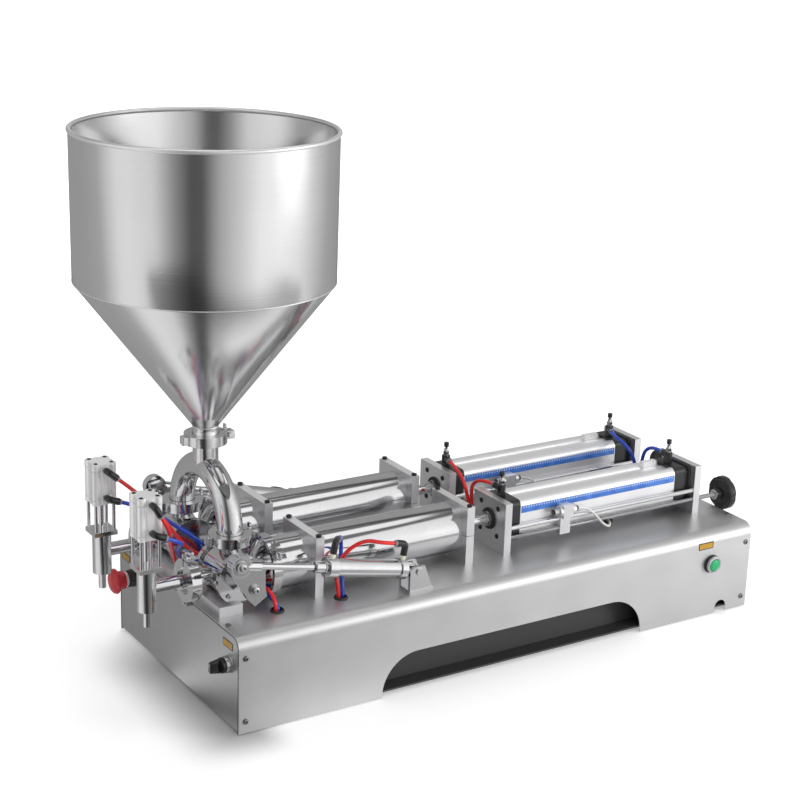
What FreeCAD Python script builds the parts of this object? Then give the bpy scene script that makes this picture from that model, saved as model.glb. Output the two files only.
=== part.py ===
"""Double-head piston filling machine with a hopper, built as separate named solids.

Frame in millimetres: X runs along the machine with the nozzles at -X and the
handwheels at +X, -Y is the side with the start button, Z is up, and the
origin is the centre of the four feet on the floor.
"""

import math
import os

import FreeCAD
import Part
import Sketcher

doc = FreeCAD.newDocument("piston_filling_machine")
sheet = doc.addObject("Spreadsheet::Sheet", "Sizes")


class Size:
    """A length: its value now, and the sheet expression that keeps it live."""

    def __init__(self, value, text):
        self.value = float(value)
        self.text = text

    def __add__(self, other):
        other = size_of(other)
        return Size(self.value + other.value, "(%s + %s)" % (self.text, other.text))

    def __radd__(self, other):
        return size_of(other) + self

    def __sub__(self, other):
        other = size_of(other)
        return Size(self.value - other.value, "(%s - %s)" % (self.text, other.text))

    def __rsub__(self, other):
        return size_of(other) - self

    def __mul__(self, other):
        other = size_of(other)
        return Size(self.value * other.value, "(%s * %s)" % (self.text, other.text))

    def __rmul__(self, other):
        return size_of(other) * self

    def __truediv__(self, other):
        other = size_of(other)
        return Size(self.value / other.value, "(%s / %s)" % (self.text, other.text))

    def __neg__(self):
        return Size(-self.value, "(0 - %s)" % self.text)


def size_of(value):
    """Return a Size for a Size or a plain number."""
    if isinstance(value, Size):
        return value
    return Size(value, "(%r)" % float(value))


sheet_rows = []


def named(name, value):
    """Put one driving size in the sheet and return its live length."""
    sheet_rows.append(name)
    row = len(sheet_rows)
    sheet.set("A%d" % row, name)
    sheet.set("B%d" % row, "%.10g" % value)
    sheet.setAlias("B%d" % row, name)
    return Size(value, "Sizes." + name)


# Case
case_length = named("case_length", 960)
case_width = named("case_width", 408)
case_height = named("case_height", 149)
case_sheet = named("case_sheet", 2)
case_bend = named("case_bend", 18)
shell_lift = named("shell_lift", 1.5)
end_plate_gap = named("end_plate_gap", 0.4)
flange_depth = named("flange_depth", 20)
foot_flange_depth = named("foot_flange_depth", 50)
corner_notch = named("corner_notch", 8)
foot_height = named("foot_height", 6)
foot_radius = named("foot_radius", 15)
foot_x = named("foot_x", 450)
foot_y = named("foot_y", 170)
foot_hole_radius = named("foot_hole_radius", 2.75)
tray_sheet = named("tray_sheet", 3)
recess_wall_y = named("recess_wall_y", 172)
recess_wall_top = named("recess_wall_top", 100)
cutout_start = named("cutout_start", -241)
cutout_end = named("cutout_end", 252)
cutout_height = named("cutout_height", 66)
cutout_corner = named("cutout_corner", 62)
notch_x = named("notch_x", 424)
notch_radius = named("notch_radius", 12)
notch_height = named("notch_height", 22)

# Filling heads
head_offset = named("head_offset", 79.5)
axis_height = named("axis_height", 197)
valve_x = named("valve_x", -431)
bar_start = named("bar_start", -470.6)
bar_width = named("bar_width", 37.6)
bar_half_length = named("bar_half_length", 124.6)
bar_height = named("bar_height", 15)
valve_radius = named("valve_radius", 34)
valve_cover_radius = named("valve_cover_radius", 38)
valve_cover_thickness = named("valve_cover_thickness", 8)
valve_half_width = named("valve_half_width", 37.5)
valve_bore = named("valve_bore", 25)
running_gap = named("running_gap", 0.05)
rotor_disc = named("rotor_disc", 4)
rotor_chord = named("rotor_chord", 15)
spindle_radius = named("spindle_radius", 8)
spindle_reach = named("spindle_reach", 158)
port_radius = named("port_radius", 12.7)
port_bore = named("port_bore", 11.1)
ferrule_radius = named("ferrule_radius", 25.25)
ferrule_thickness = named("ferrule_thickness", 2.8)
leg_joint_z = named("leg_joint_z", 250.5)
outlet_joint_x = named("outlet_joint_x", -498.5)
tube_joint_x = named("tube_joint_x", -375)
dish_start_x = named("dish_start_x", -397)
dish_start_radius = named("dish_start_radius", 16)
tube_radius = named("tube_radius", 40)
tube_bore = named("tube_bore", 38)
tube_end_x = named("tube_end_x", -30)
tube_ferrule_radius = named("tube_ferrule_radius", 42.5)
tube_ferrule_thickness = named("tube_ferrule_thickness", 3)

# Manifold and hopper
manifold_z = named("manifold_z", 255)
manifold_tube = named("manifold_tube", 19)
manifold_bore = named("manifold_bore", 17.5)
hopper_joint_z = named("hopper_joint_z", 379)
hopper_neck_top = named("hopper_neck_top", 398)
hopper_weld_z = named("hopper_weld_z", 617)
hopper_rim_z = named("hopper_rim_z", 833)
hopper_radius = named("hopper_radius", 187.5)
hopper_sheet = named("hopper_sheet", 1.5)
hopper_bead = named("hopper_bead", 3.2)

# Clamps
clamp_radius = named("clamp_radius", 32)
clamp_width = named("clamp_width", 15)
clamp_lip = named("clamp_lip", 20)
tube_clamp_radius = named("tube_clamp_radius", 46.5)
tube_clamp_width = named("tube_clamp_width", 14)
tube_clamp_lip = named("tube_clamp_lip", 40.4)
clamp_split = named("clamp_split", 3)
clamp_ear = named("clamp_ear", 12)
clamp_ear_thickness = named("clamp_ear_thickness", 6)
clamp_bolt = named("clamp_bolt", 2.5)
clamp_nut = named("clamp_nut", 5)

# Saddles
saddle_front_x = named("saddle_front_x", -316)
saddle_rear_x = named("saddle_rear_x", -48.5)
saddle_length = named("saddle_length", 14)
saddle_width = named("saddle_width", 100.7)
saddle_top = named("saddle_top", 244)
saddle_split = named("saddle_split", 1)
saddle_screw_inset = named("saddle_screw_inset", 5.2)
saddle_screw = named("saddle_screw", 2.5)
saddle_screw_head = named("saddle_screw_head", 4.25)
screw_clearance = named("screw_clearance", 0.25)

# Filling pistons and air cylinders
piston_face_x = named("piston_face_x", -366)
piston_length = named("piston_length", 30)
rod_radius = named("rod_radius", 8)
plate_front_x = named("plate_front_x", 29)
plate_rear_x = named("plate_rear_x", 418.5)
plate_thickness = named("plate_thickness", 13)
plate_width = named("plate_width", 87.2)
plate_top = named("plate_top", 233.3)
cap_front_end = named("cap_front_end", 66)
cap_rear_start = named("cap_rear_start", 384)
cap_half_width = named("cap_half_width", 32.5)
cap_half_height = named("cap_half_height", 34)
cap_corner = named("cap_corner", 8)
cap_step_x = named("cap_step_x", 405)
cap_step_length = named("cap_step_length", 8)
collar_radius = named("collar_radius", 17.5)
collar_clearance = named("collar_clearance", 0.1)
barrel_tube = named("barrel_tube", 29.5)
barrel_bore = named("barrel_bore", 25)
barrel_half_width = named("barrel_half_width", 32)
barrel_lobe_y = named("barrel_lobe_y", 22)
barrel_lobe_z = named("barrel_lobe_z", 24)
barrel_lobe = named("barrel_lobe", 10)
air_piston_x = named("air_piston_x", 72)
air_piston_length = named("air_piston_length", 20)
air_passage = named("air_passage", 3)
air_port_front_x = named("air_port_front_x", 50)
air_port_rear_x = named("air_port_rear_x", 394)

# Stroke adjusters
adjuster_offset = named("adjuster_offset", 38.5)
guide_rod_z = named("guide_rod_z", 190)
lead_screw_z = named("lead_screw_z", 174)
guide_radius = named("guide_radius", 4)
wheel_start_x = named("wheel_start_x", 481.5)
wheel_width = named("wheel_width", 14)
wheel_radius = named("wheel_radius", 29)
wheel_grip = named("wheel_grip", 3)
carriage_start_x = named("carriage_start_x", 138)
carriage_length = named("carriage_length", 20)
carriage_bottom = named("carriage_bottom", 164)
carriage_top = named("carriage_top", 214)
carriage_half_width = named("carriage_half_width", 6)
sensor_shift = named("sensor_shift", 4.5)
sensor_z = named("sensor_z", 204)
sensor_radius = named("sensor_radius", 6)
sensor_nut = named("sensor_nut", 9.5)
sensor_nut_width = named("sensor_nut_width", 5)
sensor_start_x = named("sensor_start_x", 124)
sensor_length = named("sensor_length", 43)

# Nozzles
nozzle_x = named("nozzle_x", -563)
outlet_radius = named("outlet_radius", 10)
outlet_bore = named("outlet_bore", 8)
nozzle_radius = named("nozzle_radius", 14)
nozzle_chamber = named("nozzle_chamber", 9)
nozzle_bottom = named("nozzle_bottom", 163)
nozzle_flange_z = named("nozzle_flange_z", 226)
nozzle_flange_thickness = named("nozzle_flange_thickness", 6.6)
nozzle_flange_width = named("nozzle_flange_width", 36)
tip_radius = named("tip_radius", 5.5)
tip_bore = named("tip_bore", 4)
tip_bottom = named("tip_bottom", 138)
post_radius = named("post_radius", 2.5)
post_offset = named("post_offset", 14)
actuator_bottom = named("actuator_bottom", 275)
actuator_top = named("actuator_top", 339)
actuator_width = named("actuator_width", 38)
actuator_corner = named("actuator_corner", 7)
actuator_bore = named("actuator_bore", 15)
actuator_wall = named("actuator_wall", 6)
needle_bottom = named("needle_bottom", 150)
nozzle_piston_z = named("nozzle_piston_z", 291)
nozzle_piston_height = named("nozzle_piston_height", 8)
upper_port_z = named("upper_port_z", 330)
lower_port_z = named("lower_port_z", 288)
small_port = named("small_port", 2.5)

# Valve levers and their cylinders
lever_start = named("lever_start", 146)
lever_thickness = named("lever_thickness", 10)
lever_arm = named("lever_arm", 54)
hub_radius = named("hub_radius", 15)
hub_start = named("hub_start", 138)
link_offset = named("link_offset", 166)
rod_eye_width = named("rod_eye_width", 13)
rod_eye_radius = named("rod_eye_radius", 17)
rod_eye_length = named("rod_eye_length", 32)
rod_eye_neck = named("rod_eye_neck", 8)
link_pin = named("link_pin", 5)
pivot_x = named("pivot_x", -166)
pivot_z = named("pivot_z", 181)
pivot_pin = named("pivot_pin", 4)
bracket_start_x = named("bracket_start_x", -183)
bracket_length = named("bracket_length", 41)
bracket_outer = named("bracket_outer", 181)
bracket_inner = named("bracket_inner", 151)
bracket_ear = named("bracket_ear", 5)
bracket_foot = named("bracket_foot", 4)
bracket_top = named("bracket_top", 190)
rear_eye_width = named("rear_eye_width", 12)
rear_eye_radius = named("rear_eye_radius", 8)
mini_block = named("mini_block", 16)
mini_rear_start = named("mini_rear_start", 20)
mini_rear_end = named("mini_rear_end", 32)
mini_barrel = named("mini_barrel", 13.5)
mini_bore = named("mini_bore", 12.5)
mini_front_start = named("mini_front_start", 141)
mini_front_end = named("mini_front_end", 158)
mini_nose_end = named("mini_nose_end", 178)
mini_nose = named("mini_nose", 9)
mini_rod = named("mini_rod", 5)
mini_end_wall = named("mini_end_wall", 1)
mini_end_gap = named("mini_end_gap", 6)
mini_piston_length = named("mini_piston_length", 10)

# Hoses, grommets and controls
hose_radius = named("hose_radius", 3)
wire_radius = named("wire_radius", 2)
grommet_hole = named("grommet_hole", 9.2)
grommet_bore = named("grommet_bore", 8.2)
grommet_flange = named("grommet_flange", 10.8)
grommet_height = named("grommet_height", 3)
elbow_stem = named("elbow_stem", 12)
elbow_radius = named("elbow_radius", 6)
elbow_arm = named("elbow_arm", 20)
valve_elbow_stem = named("valve_elbow_stem", 24)
start_x = named("start_x", 396)
start_z = named("start_z", 93)
start_hole = named("start_hole", 12)
start_bezel = named("start_bezel", 15)
start_bore = named("start_bore", 10.6)
start_button = named("start_button", 10.3)
selector_y = named("selector_y", -175)
selector_z = named("selector_z", 101)
selector_hole = named("selector_hole", 9)
selector_bezel = named("selector_bezel", 11)
selector_bore = named("selector_bore", 7.6)
selector_stem = named("selector_stem", 7.3)
stop_y = named("stop_y", 148)
stop_z = named("stop_z", 111)
stop_base = named("stop_base", 14)
stop_bore = named("stop_bore", 9.8)
stop_stem = named("stop_stem", 9.5)
stop_head = named("stop_head", 20)
inlet_x = named("inlet_x", 380)
inlet_z = named("inlet_z", 60)
inlet_radius = named("inlet_radius", 8)
inlet_bore = named("inlet_bore", 4.1)

ALONG_X = FreeCAD.Rotation(FreeCAD.Vector(0, 1, 0), 90)
ALONG_Y = FreeCAD.Rotation(FreeCAD.Vector(1, 0, 0), -90)
UPRIGHT = FreeCAD.Rotation(FreeCAD.Vector(1, 0, 0), 90)
LEVEL = FreeCAD.Rotation()
TURNS = {"x": ALONG_X, "y": ALONG_Y, "z": LEVEL}
SIDES = (("near", -1), ("far", 1))


def turn_from(x_way, z_way):
    """Return the rotation that lays local X and Z along two world ways."""
    y_way = z_way.cross(x_way)
    return FreeCAD.Rotation(FreeCAD.Matrix(
        x_way.x, y_way.x, z_way.x, 0,
        x_way.y, y_way.y, z_way.y, 0,
        x_way.z, y_way.z, z_way.z, 0,
        0, 0, 0, 1))


def place(item, x, y, z, turn=LEVEL):
    """Place an item, with each coordinate bound to the sheet."""
    spot = [size_of(x), size_of(y), size_of(z)]
    base = FreeCAD.Vector(spot[0].value, spot[1].value, spot[2].value)
    item.Placement = FreeCAD.Placement(base, turn)
    for axis, length in zip("xyz", spot):
        item.setExpression("Placement.Base." + axis, length.text)
    return item


def bind(item, name, length):
    """Bind one property of an item to a length."""
    length = size_of(length)
    setattr(item, name, length.value)
    item.setExpression(name, length.text)


def box(start, end):
    """Return a box between two corners."""
    item = doc.addObject("Part::Box", "block")
    lengths = [size_of(b) - size_of(a) for a, b in zip(start, end)]
    bind(item, "Length", lengths[0])
    bind(item, "Width", lengths[1])
    bind(item, "Height", lengths[2])
    return place(item, *start)


def rod(radius, length, x, y, z, axis="z"):
    """Return a cylinder that starts at a point and runs along an axis."""
    item = doc.addObject("Part::Cylinder", "round")
    bind(item, "Radius", radius)
    bind(item, "Height", length)
    return place(item, x, y, z, TURNS[axis])


def cone(first, second, length, x, y, z, axis="z"):
    """Return a cone frustum that starts at a point and runs along an axis."""
    item = doc.addObject("Part::Cone", "taper")
    bind(item, "Radius1", first)
    bind(item, "Radius2", second)
    bind(item, "Height", length)
    return place(item, x, y, z, TURNS[axis])


def ball(radius, x, y, z):
    """Return a sphere."""
    item = doc.addObject("Part::Sphere", "ball")
    bind(item, "Radius", radius)
    return place(item, x, y, z)


def ring(sweep, tube, x, y, z, axis="z"):
    """Return a torus about an axis."""
    item = doc.addObject("Part::Torus", "ring")
    bind(item, "Radius1", sweep)
    bind(item, "Radius2", tube)
    return place(item, x, y, z, TURNS[axis])


def join(*items):
    """Fuse items into one."""
    item = doc.addObject("Part::MultiFuse", "joined")
    item.Shapes = list(items)
    item.Refine = True
    return item


def shared(*items):
    """Return what items have in common."""
    item = doc.addObject("Part::MultiCommon", "shared")
    item.Shapes = list(items)
    return item


def cut(base, *tools):
    """Cut tools out of a base."""
    item = doc.addObject("Part::Cut", "cut")
    item.Base = base
    item.Tool = tools[0] if len(tools) == 1 else join(*tools)
    item.Refine = True
    return item


def group(*items):
    """Keep items as separate solids in one file."""
    item = doc.addObject("Part::Compound", "group")
    item.Links = list(items)
    return item


def plate(corners, thickness):
    """Return a PartDesign body: a polygon in its XY plane, padded along Z."""
    body = doc.addObject("PartDesign::Body", "plate")
    sketch = body.newObject("Sketcher::SketchObject", "outline")
    plane = [item for item in body.Origin.OriginFeatures if item.Role == "XY_Plane"][0]
    sketch.AttachmentSupport = [(plane, "")]
    sketch.MapMode = "FlatFace"
    corners = [(size_of(x), size_of(y)) for x, y in corners]
    count = len(corners)
    for index, (x, y) in enumerate(corners):
        end_x, end_y = corners[(index + 1) % count]
        start = FreeCAD.Vector(x.value, y.value, 0)
        end = FreeCAD.Vector(end_x.value, end_y.value, 0)
        sketch.addGeometry(Part.LineSegment(start, end), False)
    for index in range(count):
        sketch.addConstraint(Sketcher.Constraint("Coincident", index, 2, (index + 1) % count, 1))
    for index, (x, y) in enumerate(corners):
        hold(sketch, "DistanceX", -2, "x%d" % index, index, x)
        hold(sketch, "DistanceY", -1, "y%d" % index, index, y)
    pad = body.newObject("PartDesign::Pad", "pad")
    pad.Profile = sketch
    bind(pad, "Length", thickness)
    sketch.Visibility = False
    body.Tip = pad
    return body


def hold(sketch, kind, axis, name, index, length):
    """Hold one coordinate of a sketch corner at a length from the origin."""
    if abs(length.value) < 1e-9:
        sketch.addConstraint(Sketcher.Constraint("PointOnObject", index, 1, axis))
        return
    if length.value > 0:
        rule = Sketcher.Constraint(kind, -1, 1, index, 1, length.value)
    else:
        rule = Sketcher.Constraint(kind, index, 1, -1, 1, -length.value)
        length = -length
    number = sketch.addConstraint(rule)
    sketch.renameConstraint(number, name)
    sketch.setExpression("Constraints." + name, length.text)


def rounded(half_x, half_y, corner, length):
    """Return a bar with rounded long edges along local Z, centred on it."""
    parts = [
        box((-half_x, corner - half_y, 0), (half_x, half_y - corner, length)),
        box((corner - half_x, -half_y, 0), (half_x - corner, half_y, length)),
    ]
    for side_x in (-1, 1):
        for side_y in (-1, 1):
            parts.append(rod(corner, length, (half_x - corner) * side_x, (half_y - corner) * side_y, 0))
    return join(*parts)


nodes = []


def finish(item, node):
    """Name an item as one of the object's pieces."""
    item.Label = node
    nodes.append(item)
    return item


# Case shell: folded sheet with the front cut-out, cable notch and hose holes
half_length = case_length / 2
half_width = case_width / 2


def case_section(offset, bottom, start, end):
    """Return the case's outline, set in by an offset, from one X to another."""
    corner = case_bend - offset
    side = half_width - offset
    top = case_height - offset
    return join(
        box((start, -side, bottom), (end, side, top - corner)),
        box((start, corner - side, top - corner), (end, side - corner, top)),
        rod(corner, end - start, start, corner - side, top - corner, "x"),
        rod(corner, end - start, start, side - corner, top - corner, "x"))


side_screw_x = named("side_screw_x", 469)
side_screw_low = named("side_screw_low", 20)
side_screw_high = named("side_screw_high", 118)
top_screw_x = named("top_screw_x", 471)
top_screw_y = named("top_screw_y", 153)
panel_screw = named("panel_screw", 2)
panel_screw_head = named("panel_screw_head", 4.5)
panel_screw_height = named("panel_screw_height", 2.5)
panel_hole = panel_screw + screw_clearance

side_holes = []
top_holes = []
for end in (-1, 1):
    for height in (side_screw_low, side_screw_high):
        side_holes.append((side_screw_x * end, height))
    for side in (-1, 1):
        top_holes.append((top_screw_x * end, top_screw_y * side))


def panel_drills():
    """Return the drills for the screws that hold the shell to the end plates."""
    drills = [rod(panel_hole, case_width + 2, x, -half_width - 1, z, "y") for x, z in side_holes]
    drills += [rod(panel_hole, 10, x, y, case_height - 8) for x, y in top_holes]
    return drills


grommets = {
    "near_nozzle": (-386, -142),
    "near_valve": (-281, -145),
    "far_nozzle": (-398, 0),
    "fill": (52, 0),
    "return": (395, 0),
    "near_sensor": (268, -82),
    "far_sensor": (268, 77),
}
grommet_spots = {}
for key, (x, y) in grommets.items():
    grommet_spots[key] = (named("grommet_%s_x" % key, x), named("grommet_%s_y" % key, y))

shell = case_section(size_of(0), shell_lift, -half_length, half_length)
shell_inside = case_section(case_sheet, shell_lift - 1, -half_length - 1, half_length + 1)
arch_low = cutout_height - cutout_corner
front = -half_width - 1
shell_tools = [
    box((cutout_start, front, 0), (cutout_end, front + 5, arch_low)),
    box((cutout_start + cutout_corner, front, 0), (cutout_end - cutout_corner, front + 5, cutout_height)),
    rod(cutout_corner, 5, cutout_start + cutout_corner, front, arch_low, "y"),
    rod(cutout_corner, 5, cutout_end - cutout_corner, front, arch_low, "y"),
    box((notch_x - notch_radius, front, 0), (notch_x + notch_radius, front + 5, notch_height - notch_radius)),
    rod(notch_radius, 5, notch_x, front, notch_height - notch_radius, "y"),
    rod(start_hole, 5, start_x, front, start_z, "y"),
    rod(inlet_radius, 5, inlet_x, half_width - 4, inlet_z, "y"),
]
shell_tools += [rod(grommet_hole, 10, x, y, case_height - 8) for x, y in grommet_spots.values()]
finish(cut(cut(shell, shell_inside), *(shell_tools + panel_drills())), "housing_shell")

# End plates: a face set just inside the shell, with flanges the shell is screwed to
inner_side = half_width - case_sheet
inner_top = case_height - case_sheet
flange_z = foot_height
for node, end in (("end_plate_head", -1), ("end_plate_drive", 1)):
    outer = half_length * end
    inner = outer - case_sheet * end
    flange_end = inner - flange_depth * end
    foot_end = inner - foot_flange_depth * end
    low, high = (outer, inner) if end < 0 else (inner, outer)
    face = case_section(case_sheet + end_plate_gap, flange_z, low, high)
    start, stop = (inner, flange_end) if end < 0 else (flange_end, inner)
    foot_start, foot_stop = (inner, foot_end) if end < 0 else (foot_end, inner)
    flange_low = flange_z + corner_notch
    flange_high = case_height - case_bend
    flange_reach = half_width - case_bend
    pieces = [
        face,
        box((start, -inner_side, flange_low), (stop, case_sheet - inner_side, flange_high)),
        box((start, inner_side - case_sheet, flange_low), (stop, inner_side, flange_high)),
        box((start, -flange_reach, inner_top - case_sheet), (stop, flange_reach, inner_top)),
        box((foot_start, -flange_reach, flange_z), (foot_stop, flange_reach, flange_z + case_sheet)),
    ]
    tools = panel_drills()
    for side in (-1, 1):
        notch = plate(((0, 0), (corner_notch * 2, 0), (0, corner_notch * 2)), case_sheet + 2)
        turn = turn_from(FreeCAD.Vector(0, -side, 0), FreeCAD.Vector(side, 0, 0))
        start_of_notch = low - 1 if side > 0 else high + 1
        tools.append(place(notch, start_of_notch, (inner_side + corner_notch) * side, flange_z, turn))
        tools.append(rod(foot_hole_radius, 8, foot_x * end, foot_y * side, flange_z - 2))
    if end < 0:
        tools.append(rod(selector_hole, 6, low - 2, selector_y, selector_z, "x"))
        tools.append(rod(stop_stem + screw_clearance, 6, low - 2, stop_y, stop_z, "x"))
    finish(cut(join(*pieces), *tools), node)

# Tray that closes the bottom and stands up behind the front cut-out
tray_bottom = flange_z + case_sheet
tray_top = tray_bottom + tray_sheet
tray_end = half_length - case_sheet - end_plate_gap
tray_side = inner_side - case_sheet - end_plate_gap
recess_start = cutout_start - 59
recess_end = cutout_end + 48
tray_drills = [rod(foot_hole_radius, 10, foot_x * end, foot_y * side, tray_bottom - 2)
               for end in (-1, 1) for side in (-1, 1)]
tray = join(
    box((-tray_end, -tray_side, tray_bottom), (tray_end, tray_side, tray_top)),
    box((recess_start, -recess_wall_y, tray_bottom), (recess_end, case_sheet - recess_wall_y, recess_wall_top)))
finish(cut(tray, *tray_drills), "base_tray")

# Rubber feet with a hold-down hole through each
feet = []
for end in (-1, 1):
    for side in (-1, 1):
        x = foot_x * end
        y = foot_y * side
        pad = join(
            cone(foot_radius - 1.5, foot_radius, 2, x, y, 0),
            rod(foot_radius, foot_height - 2, x, y, 2))
        feet.append(cut(pad, rod(foot_hole_radius, foot_height + 2, x, y, -1)))
finish(group(*feet), "rubber_feet")

# Valve bar across the machine
bar_end = bar_start + bar_width
bar_top = case_height + bar_height
finish(box((bar_start, -bar_half_length, case_height), (bar_end, bar_half_length, bar_top)), "valve_bar")

# Three-way valve bodies, their covers and ports, cut flat where they sit on the bar
bodies = []
for name, side in SIDES:
    y = head_offset * side
    body_start = y - valve_half_width
    body_end = y + valve_half_width
    cover_rear = body_end - valve_cover_thickness
    outer_cover = body_start if side < 0 else cover_rear
    solid = join(
        rod(valve_radius, valve_half_width * 2, valve_x, body_start, axis_height, "y"),
        rod(valve_cover_radius, valve_cover_thickness, valve_x, body_start, axis_height, "y"),
        rod(valve_cover_radius, valve_cover_thickness, valve_x, cover_rear, axis_height, "y"),
        rod(port_radius, leg_joint_z - axis_height, valve_x, y, axis_height),
        rod(ferrule_radius, ferrule_thickness, valve_x, y, leg_joint_z - ferrule_thickness),
        rod(port_radius, valve_x - outlet_joint_x, outlet_joint_x, y, axis_height, "x"),
        rod(ferrule_radius, ferrule_thickness, outlet_joint_x, y, axis_height, "x"),
        rod(dish_start_radius, dish_start_x - valve_x, valve_x, y, axis_height, "x"),
        cone(dish_start_radius, tube_radius, tube_joint_x - tube_ferrule_thickness - dish_start_x,
             dish_start_x, y, axis_height, "x"),
        rod(tube_ferrule_radius, tube_ferrule_thickness, tube_joint_x - tube_ferrule_thickness,
            y, axis_height, "x"))
    bore_start = body_start + valve_cover_thickness
    tools = [
        rod(valve_bore, valve_half_width * 2 - valve_cover_thickness * 2, valve_x, bore_start,
            axis_height, "y"),
        rod(port_bore, leg_joint_z - axis_height + 1, valve_x, y, axis_height),
        rod(port_bore, tube_joint_x - outlet_joint_x + 2, outlet_joint_x - 1, y, axis_height, "x"),
        rod(spindle_radius + running_gap, valve_cover_thickness + 2, valve_x, outer_cover - 1,
            axis_height, "y"),
        box((valve_x - 50, body_start - 1, bar_top - 20), (valve_x + 50, body_end + 1, bar_top)),
    ]
    bodies.append(cut(solid, *tools))
finish(group(*bodies), "valve_bodies")

# Manifold from the hopper down to both valves
sweep_top = manifold_z + head_offset


def manifold_section(radius, leg_end, crown_end):
    """Return the manifold's tube run at one radius."""
    arch = shared(
        ring(head_offset, radius, valve_x, 0, manifold_z, "x"),
        box((valve_x - 40, -head_offset - 40, manifold_z), (valve_x + 40, head_offset + 40, manifold_z + 160)))
    legs = [rod(radius, manifold_z - leg_end, valve_x, head_offset * side, leg_end) for side in (-1, 1)]
    return join(arch, rod(radius, crown_end - sweep_top, valve_x, 0, sweep_top), *legs)


ferrules = [rod(ferrule_radius, ferrule_thickness, valve_x, head_offset * side, leg_joint_z) for side in (-1, 1)]
ferrules.append(rod(ferrule_radius, ferrule_thickness, valve_x, 0, hopper_joint_z - ferrule_thickness))
manifold = join(manifold_section(manifold_tube, leg_joint_z, hopper_joint_z), *ferrules)
finish(cut(manifold, manifold_section(manifold_bore, leg_joint_z - 1, hopper_joint_z + 1)), "inlet_manifold")

# Hopper: neck, cone, drum and rolled rim
hopper_inner = hopper_radius - hopper_sheet
drum_height = hopper_rim_z - hopper_bead - hopper_weld_z
hopper_solid = join(
    rod(ferrule_radius, ferrule_thickness, valve_x, 0, hopper_joint_z),
    rod(manifold_tube, hopper_neck_top - hopper_joint_z, valve_x, 0, hopper_joint_z),
    cone(manifold_tube, hopper_radius, hopper_weld_z - hopper_neck_top, valve_x, 0, hopper_neck_top),
    rod(hopper_radius, drum_height, valve_x, 0, hopper_weld_z))
hopper_hollow = join(
    rod(manifold_bore, hopper_neck_top - hopper_joint_z + 1, valve_x, 0, hopper_joint_z - 1),
    cone(manifold_bore, hopper_inner, hopper_weld_z - hopper_neck_top, valve_x, 0, hopper_neck_top),
    rod(hopper_inner, drum_height + 10, valve_x, 0, hopper_weld_z))
hopper_rim = ring(hopper_radius, hopper_bead, valve_x, 0, hopper_rim_z - hopper_bead)
finish(join(cut(hopper_solid, hopper_hollow), hopper_rim), "hopper")


def clamp(outer, width, seat, seat_width, lip):
    """Return a hinged clamp about local Z with its bolt ears on local +X."""
    half = width / 2
    ear_half = half - 1.5
    ear_start = outer - 4
    ear_end = outer + clamp_ear
    gap = clamp_split / 2
    reach = gap + clamp_ear_thickness
    bolt_x = outer + clamp_ear / 2
    band = cut(
        rod(outer, width, 0, 0, -half),
        rod(lip, width + 2, 0, 0, -half - 1),
        rod(seat, seat_width, 0, 0, -(seat_width / 2)),
        box((lip - 5, -gap, -half - 1), (ear_end + 1, gap, half + 1)))
    ears = [
        box((ear_start, gap, -ear_half), (ear_end, reach, ear_half)),
        box((ear_start, -reach, -ear_half), (ear_end, -gap, ear_half)),
    ]
    hinge = join(
        box((-outer - 6, -7, -ear_half), (2 - outer, 7, ear_half)),
        rod(clamp_bolt, width, -outer - 4, 0, -half))
    bolt = rod(clamp_bolt, reach * 2 + 14, bolt_x, -reach - 4, 0, "y")
    head = rod(clamp_nut, 4, bolt_x, -reach - 4, 0, "y")
    nut = rod(clamp_nut, 7, bolt_x, reach, 0, "y")
    wings = box((bolt_x - 1.5, reach + 2, -11), (bolt_x + 1.5, reach + 9, 11))
    return join(band, hinge, bolt, head, nut, wings, *ears)


def small_clamp():
    """Return a clamp for a pair of 50.5 mm ferrules."""
    return clamp(clamp_radius, clamp_width, ferrule_radius, ferrule_thickness * 2, clamp_lip)


EARS_UP = turn_from(FreeCAD.Vector(0, 0, 1), FreeCAD.Vector(1, 0, 0))
EARS_NEAR = turn_from(FreeCAD.Vector(0, -math.sqrt(0.5), math.sqrt(0.5)), FreeCAD.Vector(1, 0, 0))
clamps = [place(small_clamp(), valve_x, 0, hopper_joint_z)]
for name, side in SIDES:
    y = head_offset * side
    clamps.append(place(small_clamp(), valve_x, y, leg_joint_z))
    clamps.append(place(small_clamp(), outlet_joint_x, y, axis_height, EARS_UP))
    tube_clamp = clamp(tube_clamp_radius, tube_clamp_width, tube_ferrule_radius,
                       tube_ferrule_thickness * 2, tube_clamp_lip)
    clamps.append(place(tube_clamp, tube_joint_x, y, axis_height, EARS_NEAR))
finish(group(*clamps), "tube_clamps")

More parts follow.
